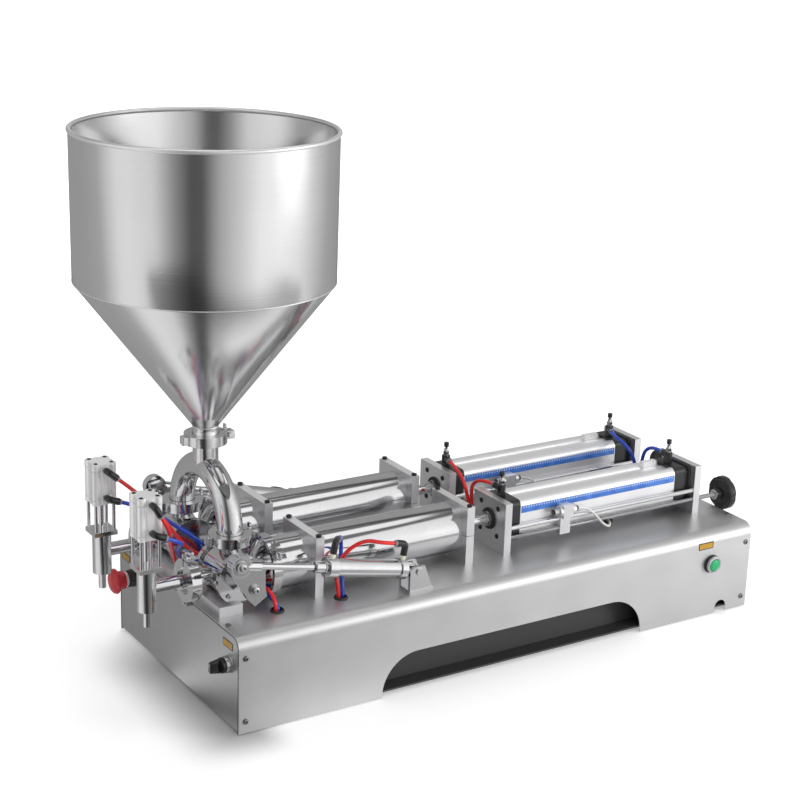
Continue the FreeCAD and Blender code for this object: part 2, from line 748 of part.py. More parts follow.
# Metering tubes in their saddles
tubes = []
bases = []
caps = []
screws = []
for name, side in SIDES:
    y = head_offset * side
    outside = join(
        rod(tube_ferrule_radius, tube_ferrule_thickness, tube_joint_x, y, axis_height, "x"),
        rod(tube_radius, tube_end_x - tube_joint_x, tube_joint_x, y, axis_height, "x"))
    inside = rod(tube_bore, tube_end_x - tube_joint_x + 2, tube_joint_x - 1, y, axis_height, "x")
    tubes.append(cut(outside, inside))
    for x in (saddle_front_x, saddle_rear_x):
        half = saddle_width / 2
        middle = x + saddle_length / 2
        seat = rod(tube_radius + running_gap, saddle_length + 2, x - 1, y, axis_height, "x")
        drills = []
        for hand in (-1, 1):
            spot_y = y + (half - saddle_screw_inset) * hand
            drills.append(rod(saddle_screw + screw_clearance, 60, middle, spot_y, saddle_top - 55))
            screws.append(join(
                rod(saddle_screw, 54, middle, spot_y, saddle_top - 54),
                rod(saddle_screw_head, 5, middle, spot_y, saddle_top)))
        low = box((x, y - half, case_height), (x + saddle_length, y + half, axis_height - saddle_split / 2))
        high = box((x, y - half, axis_height + saddle_split / 2), (x + saddle_length, y + half, saddle_top))
        bases.append(cut(low, seat, *drills))
        caps.append(cut(high, seat, *drills))
finish(group(*tubes), "metering_tubes")
finish(group(*bases), "saddle_bases")
finish(group(*caps), "saddle_caps")

# Nozzle bodies with their outlet tube, tip, flange and posts
nozzles = []
actuators = []
for name, side in SIDES:
    y = head_offset * side
    flange_half = nozzle_flange_width / 2
    flange_top = nozzle_flange_z + nozzle_flange_thickness
    solid = [
        rod(ferrule_radius, ferrule_thickness, outlet_joint_x - ferrule_thickness, y, axis_height, "x"),
        rod(outlet_radius, outlet_joint_x - nozzle_x, nozzle_x, y, axis_height, "x"),
        rod(nozzle_radius, nozzle_flange_z - nozzle_bottom, nozzle_x, y, nozzle_bottom),
        rod(tip_radius, nozzle_bottom - tip_bottom, nozzle_x, y, tip_bottom),
        box((nozzle_x - flange_half, y - flange_half, nozzle_flange_z),
            (nozzle_x + flange_half, y + flange_half, flange_top)),
    ]
    for hand_x in (-1, 1):
        for hand_y in (-1, 1):
            solid.append(rod(post_radius, actuator_bottom - nozzle_flange_z,
                             nozzle_x + post_offset * hand_x, y + post_offset * hand_y, nozzle_flange_z))
    tools = [
        rod(outlet_bore, outlet_joint_x - nozzle_x + 1, nozzle_x, y, axis_height, "x"),
        rod(tip_bore, flange_top - tip_bottom + 2, nozzle_x, y, tip_bottom - 1),
        rod(nozzle_chamber, nozzle_flange_z - nozzle_bottom - 4, nozzle_x, y, nozzle_bottom + 4),
    ]
    nozzles.append(cut(join(*solid), *tools))
    half = actuator_width / 2
    block = place(rounded(half, half, actuator_corner, actuator_top - actuator_bottom),
                  nozzle_x, y, actuator_bottom)
    bore_bottom = actuator_bottom + actuator_wall
    actuators.append(cut(
        block,
        rod(actuator_bore, actuator_top - actuator_wall - bore_bottom, nozzle_x, y, bore_bottom),
        rod(tip_bore, actuator_wall + 2, nozzle_x, y, actuator_bottom - 1),
        rod(small_port, half + 1, nozzle_x, y - half - 1, upper_port_z, "y"),
        rod(small_port, half + 1, nozzle_x, y - half - 1, lower_port_z, "y")))
finish(group(*nozzles), "nozzle_bodies")
finish(group(*actuators), "nozzle_actuators")


def elbow(turn, x, y, z, stem):
    """Return a push-in elbow: its stem leaves a face along local Z, its arm along local X."""
    item = join(
        rod(elbow_radius - 1, stem, 0, 0, 0),
        ball(elbow_radius, 0, 0, stem),
        rod(elbow_radius, elbow_arm, 0, 0, stem, "x"))
    return place(item, x, y, z, turn)


def elbow_end(turn, x, y, z, stem):
    """Return the point and way at which a hose leaves an elbow."""
    base = FreeCAD.Vector(size_of(x).value, size_of(y).value, size_of(z).value)
    way = turn.multVec(FreeCAD.Vector(1, 0, 0))
    point = base + turn.multVec(FreeCAD.Vector(elbow_arm.value, 0, stem.value))
    return point, way


nozzle_elbow_angles = {
    ("near", "upper"): 60,
    ("near", "lower"): 24,
    ("far", "upper"): 41,
    ("far", "lower"): 21,
}
fittings = []
hose_starts = {}
for name, side in SIDES:
    face_y = head_offset * side - actuator_width / 2
    for level, port_z in (("upper", upper_port_z), ("lower", lower_port_z)):
        angle = math.radians(nozzle_elbow_angles[name, level])
        arm_way = FreeCAD.Vector(math.cos(angle), 0, -math.sin(angle))
        turn = turn_from(arm_way, FreeCAD.Vector(0, -1, 0))
        fittings.append(elbow(turn, nozzle_x, face_y, port_z, elbow_stem))
        hose_starts["nozzle", name, level] = elbow_end(turn, nozzle_x, face_y, port_z, elbow_stem)

# Speed controllers on the air cylinder caps: each has a port arm and a knob bore
controller_radius = named("controller_radius", 7)
controller_height = named("controller_height", 19)
controller_stem = named("controller_stem", 4.5)
controller_stem_height = named("controller_stem_height", 12)
controller_arm = named("controller_arm", 20)
controller_arm_radius = named("controller_arm_radius", 5.5)
controller_arm_lift = named("controller_arm_lift", 13.5)
knob_stem = named("knob_stem", 1.6)
knob_radius = named("knob_radius", 4)
cap_top = axis_height + cap_half_height
controller_top = cap_top + controller_height
stem_top = controller_top + controller_stem_height
controller_turns = {
    ("near", "fill"): 96,
    ("far", "fill"): -104,
    ("near", "return"): 82,
    ("far", "return"): -116,
}
for name, side in SIDES:
    for use, x in (("fill", air_port_front_x), ("return", air_port_rear_x)):
        y = head_offset * side
        angle = math.radians(controller_turns[name, use])
        arm_way = FreeCAD.Vector(math.cos(angle), math.sin(angle), 0)
        turn = turn_from(arm_way, FreeCAD.Vector(0, 0, 1))
        solid = join(
            rod(controller_radius, controller_height, 0, 0, 0),
            rod(controller_stem, controller_stem_height, 0, 0, controller_height),
            rod(controller_arm_radius, controller_arm, 0, 0, controller_arm_lift, "x"))
        knob_bore = rod(knob_stem + running_gap, controller_stem_height + 1, 0, 0, controller_height + 1)
        fittings.append(place(cut(solid, knob_bore), x, y, cap_top, turn))
        base = FreeCAD.Vector(x.value, y.value, (cap_top + controller_arm_lift).value)
        hose_starts["air", name, use] = (base + arm_way * controller_arm.value, arm_way)
finish(group(*fittings), "air_fittings")

# Bezels of the start button, selector and emergency stop
panel_y = -half_width
head_x = -half_length
start_ring = cut(
    join(rod(start_bezel, 5, start_x, panel_y - 5, start_z, "y"),
         rod(start_hole, 12, start_x, panel_y, start_z, "y")),
    rod(start_bore, 20, start_x, panel_y - 6, start_z, "y"))
selector_ring = cut(
    join(rod(selector_bezel, 4, head_x - 4, selector_y, selector_z, "x"),
         rod(selector_hole, 8, head_x, selector_y, selector_z, "x")),
    rod(selector_bore, 16, head_x - 5, selector_y, selector_z, "x"))
stop_ring = cut(
    rod(stop_base, 14, head_x - 14, stop_y, stop_z, "x"),
    rod(stop_bore, 18, head_x - 16, stop_y, stop_z, "x"))
finish(group(start_ring, selector_ring, stop_ring), "control_bezels")

# Air cylinders: plates, caps, lobed barrels and guide rods
plates = []
barrels = []
end_caps = []
guides = []
reeds = []
plate_front_end = plate_front_x + plate_thickness
barrel_length = cap_rear_start - cap_front_end
screw_bore = guide_radius + running_gap
for name, side in SIDES:
    y = head_offset * side
    adjuster_y = y - adjuster_offset
    half = plate_width / 2
    front_plate = box((plate_front_x, y - half, case_height), (plate_front_end, y + half, plate_top))
    plates.append(cut(
        front_plate,
        rod(collar_radius + collar_clearance, plate_thickness + 2, plate_front_x - 1, y, axis_height, "x"),
        rod(screw_bore, 9, plate_front_end - 8, adjuster_y, lead_screw_z, "x")))
    rear_end = plate_rear_x + plate_thickness
    rear_plate = box((plate_rear_x, y - half, case_height), (rear_end, y + half, plate_top))
    plates.append(cut(
        rear_plate,
        rod(screw_bore, plate_thickness + 2, plate_rear_x - 1, adjuster_y, lead_screw_z, "x")))
    passage_z = axis_height + 18
    port_depth = cap_top - passage_z + 3
    front_cap = place(rounded(cap_half_height, cap_half_width, cap_corner, cap_front_end - plate_front_end),
                      plate_front_end, y, axis_height, ALONG_X)
    end_caps.append(cut(
        join(front_cap, rod(collar_radius, plate_thickness + 1, plate_front_x - 1, y, axis_height, "x")),
        rod(rod_radius + running_gap, cap_front_end - plate_front_x + 4, plate_front_x - 2, y,
            axis_height, "x"),
        rod(air_passage, port_depth, air_port_front_x, y, passage_z - 2),
        rod(air_passage, cap_front_end - air_port_front_x + 1, air_port_front_x, y, passage_z, "x")))
    rear_cap = join(
        place(rounded(cap_half_height, cap_half_width, cap_corner, cap_step_x - cap_rear_start),
              cap_rear_start, y, axis_height, ALONG_X),
        place(rounded(cap_half_height - 2, cap_half_width - 2, cap_corner, plate_rear_x - cap_step_x),
              cap_step_x, y, axis_height, ALONG_X),
        place(rounded(cap_half_height, cap_half_width, cap_corner,
                      plate_rear_x - cap_step_x - cap_step_length),
              cap_step_x + cap_step_length, y, axis_height, ALONG_X))
    end_caps.append(cut(
        rear_cap,
        rod(air_passage, port_depth, air_port_rear_x, y, passage_z - 2),
        rod(air_passage, air_port_rear_x - cap_rear_start + 1, cap_rear_start - 1, y, passage_z, "x")))
    lobes = [rod(barrel_lobe, barrel_length, cap_front_end, y + barrel_lobe_y * hand_y,
                 axis_height + barrel_lobe_z * hand_z, "x") for hand_y in (-1, 1) for hand_z in (-1, 1)]
    barrel = join(
        rod(barrel_tube, barrel_length, cap_front_end, y, axis_height, "x"),
        box((cap_front_end, y - barrel_half_width, axis_height - barrel_lobe_z),
            (cap_rear_start, y + barrel_half_width, axis_height + barrel_lobe_z)),
        *lobes)
    barrels.append(cut(barrel, rod(barrel_bore, barrel_length + 2, cap_front_end - 1, y, axis_height, "x")))
    guides.append(rod(guide_radius, plate_rear_x - plate_front_end, plate_front_end, adjuster_y,
                      guide_rod_z, "x"))
    reed_block = box((348, y + 8, axis_height + 26), (376, y + 18, axis_height + 38.5))
    reeds.append(cut(reed_block, barrels[-1]))
finish(group(*plates), "air_plates")
finish(group(*barrels), "air_barrels")
finish(group(*end_caps), "air_caps")
finish(group(*guides), "guide_rods")
finish(group(*reeds), "reed_sensors")

# Rubber grommets round the hoses where they go through the top
grommet_items = []
for x, y in grommet_spots.values():
    solid = join(
        rod(grommet_hole, case_sheet, x, y, case_height - case_sheet),
        cone(grommet_flange, grommet_flange - 1, grommet_height, x, y, case_height))
    grommet_items.append(cut(solid, rod(grommet_bore, 10, x, y, case_height - 4)))
finish(group(*grommet_items), "grommets")

# Clevis brackets that carry the valve cylinders
brackets = []
for name, side in SIDES:
    low, high = (-bracket_outer, -bracket_inner) if side < 0 else (bracket_inner, bracket_outer)
    foot = box((bracket_start_x, low, case_height), (bracket_start_x + bracket_length, high,
                                                     case_height + bracket_foot))
    ears = []
    for ear_y in (low + bracket_ear, high):
        corners = (
            (0, 0),
            (bracket_length, 0),
            (bracket_length * 0.62, bracket_top - case_height),
            (bracket_length * 0.16, bracket_top - case_height),
            (0, bracket_top - case_height - 5),
        )
        ears.append(place(plate(corners, bracket_ear), bracket_start_x, ear_y, case_height, UPRIGHT))
    pin = rod(pivot_pin, bracket_outer - bracket_inner, pivot_x, low, pivot_z, "y")
    heads = [
        rod(pivot_pin + 2.5, 3, pivot_x, low - 3, pivot_z, "y"),
        rod(pivot_pin + 2.5, 3, pivot_x, high, pivot_z, "y"),
    ]
    brackets.append(join(foot, pin, *(ears + heads)))
finish(group(*brackets), "pivot_brackets")

# Solenoid valves on the tray, under the top
bank = [box((-90, -20, tray_top), (72, 20, tray_top + 20))]
for index in range(8):
    start = -88 + 20 * index
    bank.append(box((start, -34, tray_top + 20), (start + 17, 34, tray_top + 50)))
    bank.append(box((start + 2, 34, tray_top + 24), (start + 15, 56, tray_top + 44)))
finish(join(*bank), "solenoid_valve_bank")

# Push-in bulkhead for the shop air hose, at the back
inlet = join(
    rod(inlet_radius, 34, inlet_x, half_width - 12, inlet_z, "y"),
    rod(inlet_radius + 3, 5, inlet_x, half_width, inlet_z, "y"),
    rod(inlet_radius + 3, 4, inlet_x, half_width - case_sheet - 4, inlet_z, "y"))
finish(cut(inlet, rod(inlet_bore, 16, inlet_x, half_width + 7, inlet_z, "y")), "air_inlet")

# Screws: case panels, valve covers and saddles
for x, z in side_holes:
    for side in (-1, 1):
        head_start = half_width if side > 0 else -half_width - panel_screw_height
        shank_start = half_width - 6 if side > 0 else -half_width
        screws.append(join(
            rod(panel_screw_head, panel_screw_height, x, head_start, z, "y"),
            rod(panel_screw, 6, x, shank_start, z, "y")))
for x, y in top_holes:
    screws.append(join(
        rod(panel_screw_head, panel_screw_height, x, y, case_height),
        rod(panel_screw, 6, x, y, case_height - 6)))
cover_screw_ring = named("cover_screw_ring", 21.5)
for name, side in SIDES:
    y = (head_offset + valve_half_width) * side - (0 if side > 0 else 3)
    for hand_x in (-1, 1):
        for hand_z in (-1, 1):
            screws.append(rod(3.5, 3, valve_x + cover_screw_ring * hand_x, y,
                              axis_height + cover_screw_ring * hand_z, "y"))
finish(group(*screws), "screws")

# Filling piston, rod and air piston of each head, as one moving piece
for name, side in SIDES:
    y = head_offset * side
    finish(join(
        rod(tube_bore - running_gap, piston_length, piston_face_x, y, axis_height, "x"),
        rod(rod_radius, air_piston_x - piston_face_x + air_piston_length, piston_face_x, y, axis_height, "x"),
        rod(barrel_bore - running_gap, air_piston_length, air_piston_x, y, axis_height, "x")),
        "piston_" + name)

# Valve rotor, spindle and lever of each head
lever_outline = ((65, -14), (65, 5), (25, 36), (-12, 14), (-23, 10), (-23, -13), (-7, -16))
lever_corners = []
for index, (along, across) in enumerate(lever_outline):
    lever_corners.append((named("lever_%d_along" % index, along), named("lever_%d_across" % index, across)))
lever_angles = {"near": 122, "far": 97}
pins = {}
for name, side in SIDES:
    y = head_offset * side
    disc_start = valve_cover_thickness + running_gap
    rotor_start = y - valve_half_width + disc_start
    rotor_length = (valve_half_width - disc_start) * 2
    rotor = cut(
        rod(valve_bore - running_gap, rotor_length, valve_x, rotor_start, axis_height, "y"),
        box((valve_x - rotor_chord, rotor_start + rotor_disc, axis_height - 30),
            (valve_x + 30, rotor_start + rotor_length - rotor_disc, axis_height + 30)))
    inner_end = (head_offset + valve_half_width - valve_cover_thickness - rotor_disc) * side
    outer_end = spindle_reach * side
    low, high = (outer_end, inner_end) if side < 0 else (inner_end, outer_end)
    spindle = rod(spindle_radius, high - low, valve_x, low, axis_height, "y")
    hub_low = -(lever_start + lever_thickness) if side < 0 else hub_start
    hub = rod(hub_radius, lever_start + lever_thickness - hub_start, valve_x, hub_low, axis_height, "y")
    angle = math.radians(lever_angles[name])
    along = FreeCAD.Vector(math.cos(angle), 0, math.sin(angle))
    turn = turn_from(along, FreeCAD.Vector(0, 1, 0))
    arm_low = -(lever_start + lever_thickness) if side < 0 else lever_start
    arm = place(plate(lever_corners, lever_thickness), valve_x, arm_low, axis_height, turn)
    slot = place(box((-30, -1, -20), (-9, 1, 20)), valve_x, arm_low + 5, axis_height, turn)
    pins[name] = (valve_x.value + lever_arm.value * math.cos(angle),
                  axis_height.value + lever_arm.value * math.sin(angle))
    finish(cut(join(rotor, spindle, hub, arm), slot), "valve_lever_" + name)

# Both valve rods have one length: at the longer reach the piston stops a gap short of the front wall
longest_reach = 0
for pin_x, pin_z in pins.values():
    longest_reach = max(longest_reach, math.hypot(pin_x - pivot_x.value, pin_z - pivot_z.value))
piston_reach = mini_end_wall + mini_end_gap + mini_piston_length - mini_front_start + longest_reach

# Valve cylinders and rods, built along local X from the pivot towards the pin
for name, side in SIDES:
    pin_x, pin_z = pins[name]
    across = pin_x - pivot_x.value
    up = pin_z - pivot_z.value
    reach = math.hypot(across, up)
    towards = FreeCAD.Vector(across / reach, 0, up / reach)
    turn = turn_from(towards, FreeCAD.Vector(-towards.z, 0, towards.x) * -1)
    link_y = link_offset * side
    print("link", name, "reach %.3f" % reach, "rise %.4f deg" % math.degrees(math.asin(up / reach)))
    half_eye = rear_eye_width / 2
    shell_solid = join(
        rod(rear_eye_radius, rear_eye_width, 0, -half_eye, 0, "y"),
        box((0, -half_eye, -rear_eye_radius), (mini_rear_start, half_eye, rear_eye_radius)),
        rod(mini_block, mini_rear_end - mini_rear_start, mini_rear_start, 0, 0, "x"),
        rod(mini_barrel, mini_front_start - mini_rear_end, mini_rear_end, 0, 0, "x"),
        rod(mini_block, mini_front_end - mini_front_start, mini_front_start, 0, 0, "x"),
        rod(mini_nose, mini_nose_end - mini_front_end, mini_front_end, 0, 0, "x"))
    hollow = join(
        rod(mini_bore, mini_front_start - mini_rear_end - mini_end_wall * 2, mini_rear_end + mini_end_wall, 0, 0, "x"),
        rod(mini_rod + running_gap, 60, mini_front_start - 10, 0, 0, "x"),
        rod(pivot_pin + running_gap, rear_eye_width + 2, 0, -half_eye - 1, 0, "y"))
    cylinder_solid = cut(shell_solid, hollow)
    front_middle = (mini_front_start + mini_front_end) / 2
    rear_middle = (mini_rear_start + mini_rear_end) / 2
    seat = mini_block - 1
    port_way = FreeCAD.Vector(0, 0, 1)
    front_way = FreeCAD.Vector(-0.66, -0.75, 0)
    port_y = 0
    port_z = seat
    if side > 0:
        port_way = FreeCAD.Vector(0, -1, 0)
        front_way = FreeCAD.Vector(-1, 0, 0)
        port_y = -seat
        port_z = 0
    front_way.normalize()
    front_turn = turn_from(front_way, port_way)
    rear_turn = turn_from(FreeCAD.Vector(1, 0, 0), port_way)
    whole = join(
        cylinder_solid,
        elbow(front_turn, front_middle, port_y, port_z, valve_elbow_stem),
        elbow(rear_turn, rear_middle, port_y, port_z, valve_elbow_stem))
    finish(place(whole, pivot_x, link_y, pivot_z, turn), "valve_cylinder_" + name)
    base = FreeCAD.Vector(pivot_x.value, link_y.value, pivot_z.value)
    for spot, local_turn, middle in (("front", front_turn, front_middle), ("rear", rear_turn, rear_middle)):
        point, way = elbow_end(local_turn, middle, port_y, port_z, valve_elbow_stem)
        hose_starts["valve", name, spot] = (base + turn.multVec(point), turn.multVec(way))
    half_width_of_eye = rod_eye_width / 2
    plunger = join(
        rod(mini_bore - running_gap, mini_piston_length, -piston_reach, 0, 0, "x"),
        rod(mini_rod, piston_reach, -piston_reach, 0, 0, "x"),
        rod(rod_eye_neck, rod_eye_length, -rod_eye_length, 0, 0, "x"),
        rod(rod_eye_radius, rod_eye_width, 0, -half_width_of_eye, 0, "y"),
        rod(link_pin + 4, 4, 0, half_width_of_eye if side < 0 else -half_width_of_eye - 4, 0, "y"),
        rod(link_pin + 4, 2.5, 0, -half_width_of_eye - 2.5 if side < 0 else half_width_of_eye, 0, "y"))
    place(plunger, pin_x, link_y, pin_z, turn)
    finish(plunger, "valve_rod_" + name)

# Nozzle spindles: needle, rod and piston
for name, side in SIDES:
    y = head_offset * side
    finish(join(
        rod(tip_bore - running_gap, nozzle_piston_z + nozzle_piston_height - needle_bottom,
            nozzle_x, y, needle_bottom),
        rod(actuator_bore - running_gap, nozzle_piston_height, nozzle_x, y, nozzle_piston_z)),
        "nozzle_spindle_" + name)

# Handwheels with their lead screws, and the sensor carriages they drive
for name, side in SIDES:
    adjuster_y = head_offset * side - adjuster_offset
    screw_start = plate_front_end - 7
    wheel_end = wheel_start_x + wheel_width
    grips = [rod(wheel_grip, wheel_width + 2, wheel_start_x - 1,
                 adjuster_y + (wheel_radius + 1.2) * math.cos(math.radians(60 * step)),
                 lead_screw_z + (wheel_radius + 1.2) * math.sin(math.radians(60 * step)), "x")
             for step in range(6)]
    wheel = cut(rod(wheel_radius, wheel_width, wheel_start_x, adjuster_y, lead_screw_z, "x"), *grips)
    hub = join(
        rod(guide_radius, wheel_end - screw_start, screw_start, adjuster_y, lead_screw_z, "x"),
        rod(guide_radius + 5, 14, wheel_start_x - 14, adjuster_y, lead_screw_z, "x"))
    finish(join(wheel, hub), "handwheel_" + name)
    carriage_end = carriage_start_x + carriage_length
    sensor_y = adjuster_y - sensor_shift
    waist = sensor_z - 11
    block = join(
        box((carriage_start_x, adjuster_y - carriage_half_width, carriage_bottom),
            (carriage_end, adjuster_y + carriage_half_width, waist)),
        box((carriage_start_x, sensor_y - 9, waist),
            (carriage_end, adjuster_y + carriage_half_width, carriage_top)))
    drilled = cut(
        block,
        rod(screw_bore, carriage_length + 2, carriage_start_x - 1, adjuster_y, guide_rod_z, "x"),
        rod(screw_bore, carriage_length + 2, carriage_start_x - 1, adjuster_y, lead_screw_z, "x"))
    finish(join(
        drilled,
        rod(sensor_radius, sensor_length, sensor_start_x, sensor_y, sensor_z, "x"),
        rod(sensor_nut, sensor_nut_width, carriage_start_x - sensor_nut_width, sensor_y, sensor_z, "x"),
        rod(sensor_nut, sensor_nut_width, carriage_end, sensor_y, sensor_z, "x")),
        "sensor_carriage_" + name)

# Start button, selector and emergency stop
finish(join(
    rod(start_button, 26, start_x, panel_y - 8, start_z, "y"),
    rod(start_button + 3, 3, start_x, panel_y + 18, start_z, "y")), "start_button")
finish(join(
    rod(selector_stem, 26, head_x - 14, selector_y, selector_z, "x"),
    box((head_x - 32, selector_y - 3, selector_z - 9), (head_x - 14, selector_y + 3, selector_z + 9))),
    "selector_knob")
finish(join(
    rod(stop_stem, 34, head_x - 24, stop_y, stop_z, "x"),
    rod(stop_stem + 5.5, 13, head_x - 32, stop_y, stop_z, "x"),
    cone(stop_head - 4, stop_head, 7, head_x - 42, stop_y, stop_z, "x"),
    rod(stop_head, 3, head_x - 35, stop_y, stop_z, "x")), "estop_button")

# Needle knobs of the speed controllers
for name, side in SIDES:
    for use, x in (("fill", air_port_front_x), ("return", air_port_rear_x)):
        y = head_offset * side
        finish(join(
            rod(knob_stem, controller_stem_height, x, y, controller_top + 3),
            rod(knob_radius, 7, x, y, stem_top + 3)), "%s_speed_knob_%s" % (use, name))


def cord(node, points, radius):
    """Sweep a round cord along straight runs and tangent arcs."""
    points = [FreeCAD.Vector(*point) for point in points]
    edges = []
    at = points[0]
    length = 0.0
    bends = []
    for index in range(1, len(points) - 1):
        before = points[index] - points[index - 1]
        after = points[index + 1] - points[index]
        half_turn = before.getAngle(after) / 2
        trim = 0.45 * min(before.Length, after.Length)
        bend = trim / math.tan(half_turn)
        before.normalize()
        after.normalize()
        start = points[index] - before * trim
        end = points[index] + after * trim
        outwards = points[index] * 2 - start - end
        outwards.normalize()
        centre = points[index] - outwards * math.hypot(bend, trim)
        middle = centre + outwards * bend
        edges.append(Part.LineSegment(at, start).toShape())
        edges.append(Part.Arc(start, middle, end).toShape())
        length += (start - at).Length + 2 * half_turn * bend
        bends.append(bend)
        at = end
    edges.append(Part.LineSegment(at, points[-1]).toShape())
    length += (points[-1] - at).Length
    wire = Part.Wire(edges)
    way = points[1] - points[0]
    circle = Part.Wire([Part.makeCircle(radius, points[0], way)])
    solid = wire.makePipe(Part.Face(circle))
    ideal = math.pi * radius ** 2 * length
    print("cord", node, "length %.0f" % length, "radii", [round(bend) for bend in bends],
          "volume %.4f of ideal" % (solid.Volume / ideal), "valid", solid.isValid())
    item = doc.addObject("Part::Feature", "cord")
    item.Shape = solid
    return finish(item, node)


def first_points(kind, name, spot, run):
    """Return the first two route points of a hose."""
    point, way = hose_starts[kind, name, spot]
    return [tuple(point), tuple(point + way * run)]


hose_gap = 3.4


def grommet_point(key, shift_x, shift_y, z):
    """Return a route point in a grommet, off its centre."""
    x, y = grommet_spots[key]
    return (x.value + shift_x, y.value + shift_y, z)


routes = {
    "fill_hose_near": first_points("air", "near", "fill", 26) + [
        (43, -9, 231),
        (46, -3.4, 204),
        (51, -3.4, 176),
        grommet_point("fill", 0, -hose_gap, 150),
        grommet_point("fill", 0, -hose_gap, 124),
    ],
    "fill_hose_far": first_points("air", "far", "fill", 25) + [
        (40, 11, 229),
        (44, 3.8, 203),
        (50, 3.4, 176),
        grommet_point("fill", 0, hose_gap, 150),
        grommet_point("fill", 0, hose_gap, 124),
    ],
    "return_hose_near": first_points("air", "near", "return", 25) + [
        (401, -11, 232),
        (402, -3.6, 206),
        (398, -3.4, 178),
        grommet_point("return", 0, -hose_gap, 151),
        grommet_point("return", 0, -hose_gap, 124),
    ],
    "return_hose_far": first_points("air", "far", "return", 24) + [
        (383, 14, 233),
        (394, 4.5, 208),
        (396, 3.4, 180),
        grommet_point("return", 0, hose_gap, 152),
        grommet_point("return", 0, hose_gap, 124),
    ],
    "nozzle_open_hose_near": first_points("nozzle", "near", "upper", 24) + [
        (-531, -88, 267),
        (-518, -67, 243),
        (-500, -40, 210.3),
        (-484, -31, 194),
        (-456, -24, 179),
        (-426, -21, 171),
        (-404, -36, 164),
        (-399, -62, 161),
        (-397, -84, 166),
        (-394, -103, 175),
        (-391, -124, 178),
        grommet_point("near_nozzle", -hose_gap + 0.2, 1, 166),
        grommet_point("near_nozzle", -hose_gap + 0.4, -2, 149),
        grommet_point("near_nozzle", -hose_gap, 0.5, 128),
    ],
    "nozzle_shut_hose_near": first_points("nozzle", "near", "lower", 27.5) + [
        (-516, -86, 254),
        (-508, -63, 237.5),
        (-495.6, -45, 221.4),
        (-480, -29, 208),
        (-461, -18, 196),
        (-437, -11, 183),
        (-412, -17, 171),
        (-395, -37, 161),
        (-391, -68, 158.5),
        (-389, -98, 162),
        (-386.5, -126, 165),
        grommet_point("near_nozzle", hose_gap, -0.5, 151),
        grommet_point("near_nozzle", hose_gap, 0, 131),
    ],
    "nozzle_open_hose_far": first_points("nozzle", "far", "upper", 24) + [
        (-504, 26, 275),
        (-482, 8, 240),
        (-463, -1, 211),
        (-437, -3.4, 193),
        (-413, -3.4, 180),
        grommet_point("far_nozzle", 0, -hose_gap, 158),
        grommet_point("far_nozzle", 0, -hose_gap, 136),
    ],
    "nozzle_shut_hose_far": first_points("nozzle", "far", "lower", 24) + [
        (-494, 26, 259),
        (-466, 9, 237),
        (-437, 3.4, 214),
        (-411, 3.4, 191),
        (-399, 3.4, 166),
        grommet_point("far_nozzle", 0, hose_gap, 144),
        grommet_point("far_nozzle", 0, hose_gap, 122),
    ],
}
routes["valve_open_hose_near"] = first_points("valve", "near", "front", 19) + [
    (-272.1, -127.3, 230.2),
    (-273.3, -129.1, 208),
    (-275.5, -136.5, 183),
    grommet_point("near_valve", hose_gap, 1, 160),
    grommet_point("near_valve", hose_gap, 0, 136),
]
routes["valve_shut_hose_near"] = first_points("valve", "near", "rear", 22) + [
    (-246, -156, 238.5),
    (-268, -147, 227),
    (-283, -141, 207),
    (-288, -139, 186),
    (-285, -144.5, 165),
    grommet_point("near_valve", -hose_gap, 0, 138),
]
for node, route in routes.items():
    cord(node, route, hose_radius.value)

wire_route = (
    (0, -4.5, 204),
    (16, -4.5, 204),
    (34, -10, 193),
    (51, -11, 173),
    (70, -7, 159.5),
    (89, 11, 156),
    (101, 36, 156),
    (101, 36, 126),
)
for name, side in SIDES:
    adjuster_y = (head_offset * side - adjuster_offset).value
    start = (sensor_start_x + sensor_length).value
    route = [(start + x, adjuster_y + y, z) for x, y, z in wire_route]
    cord("sensor_wire_" + name, route, wire_radius.value)

doc.recompute()
os.makedirs("parts", exist_ok=True)
for item in doc.Objects:
    if "Invalid" in item.State or "Error" in item.State:
        raise RuntimeError("%s (%s) did not recompute" % (item.Name, item.Label))
for item in nodes:
    shape = item.Shape
    if shape.isNull() or not shape.isValid():
        raise RuntimeError("%s has no valid shape" % item.Label)
    shape.exportStep("parts/%s.step" % item.Label)
    print(item.Label, "solids", len(shape.Solids), "volume %.0f" % shape.Volume)
print(len(nodes), "pieces written")
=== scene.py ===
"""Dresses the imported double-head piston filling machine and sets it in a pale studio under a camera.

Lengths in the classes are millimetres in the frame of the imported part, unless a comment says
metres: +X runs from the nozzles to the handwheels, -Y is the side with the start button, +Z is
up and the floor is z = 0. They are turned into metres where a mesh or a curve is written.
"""

import logging
import math
from dataclasses import dataclass, field
from enum import Enum
from typing import Any, Sequence

import bmesh
import bpy
import numpy as np
from mathutils import Matrix, Vector

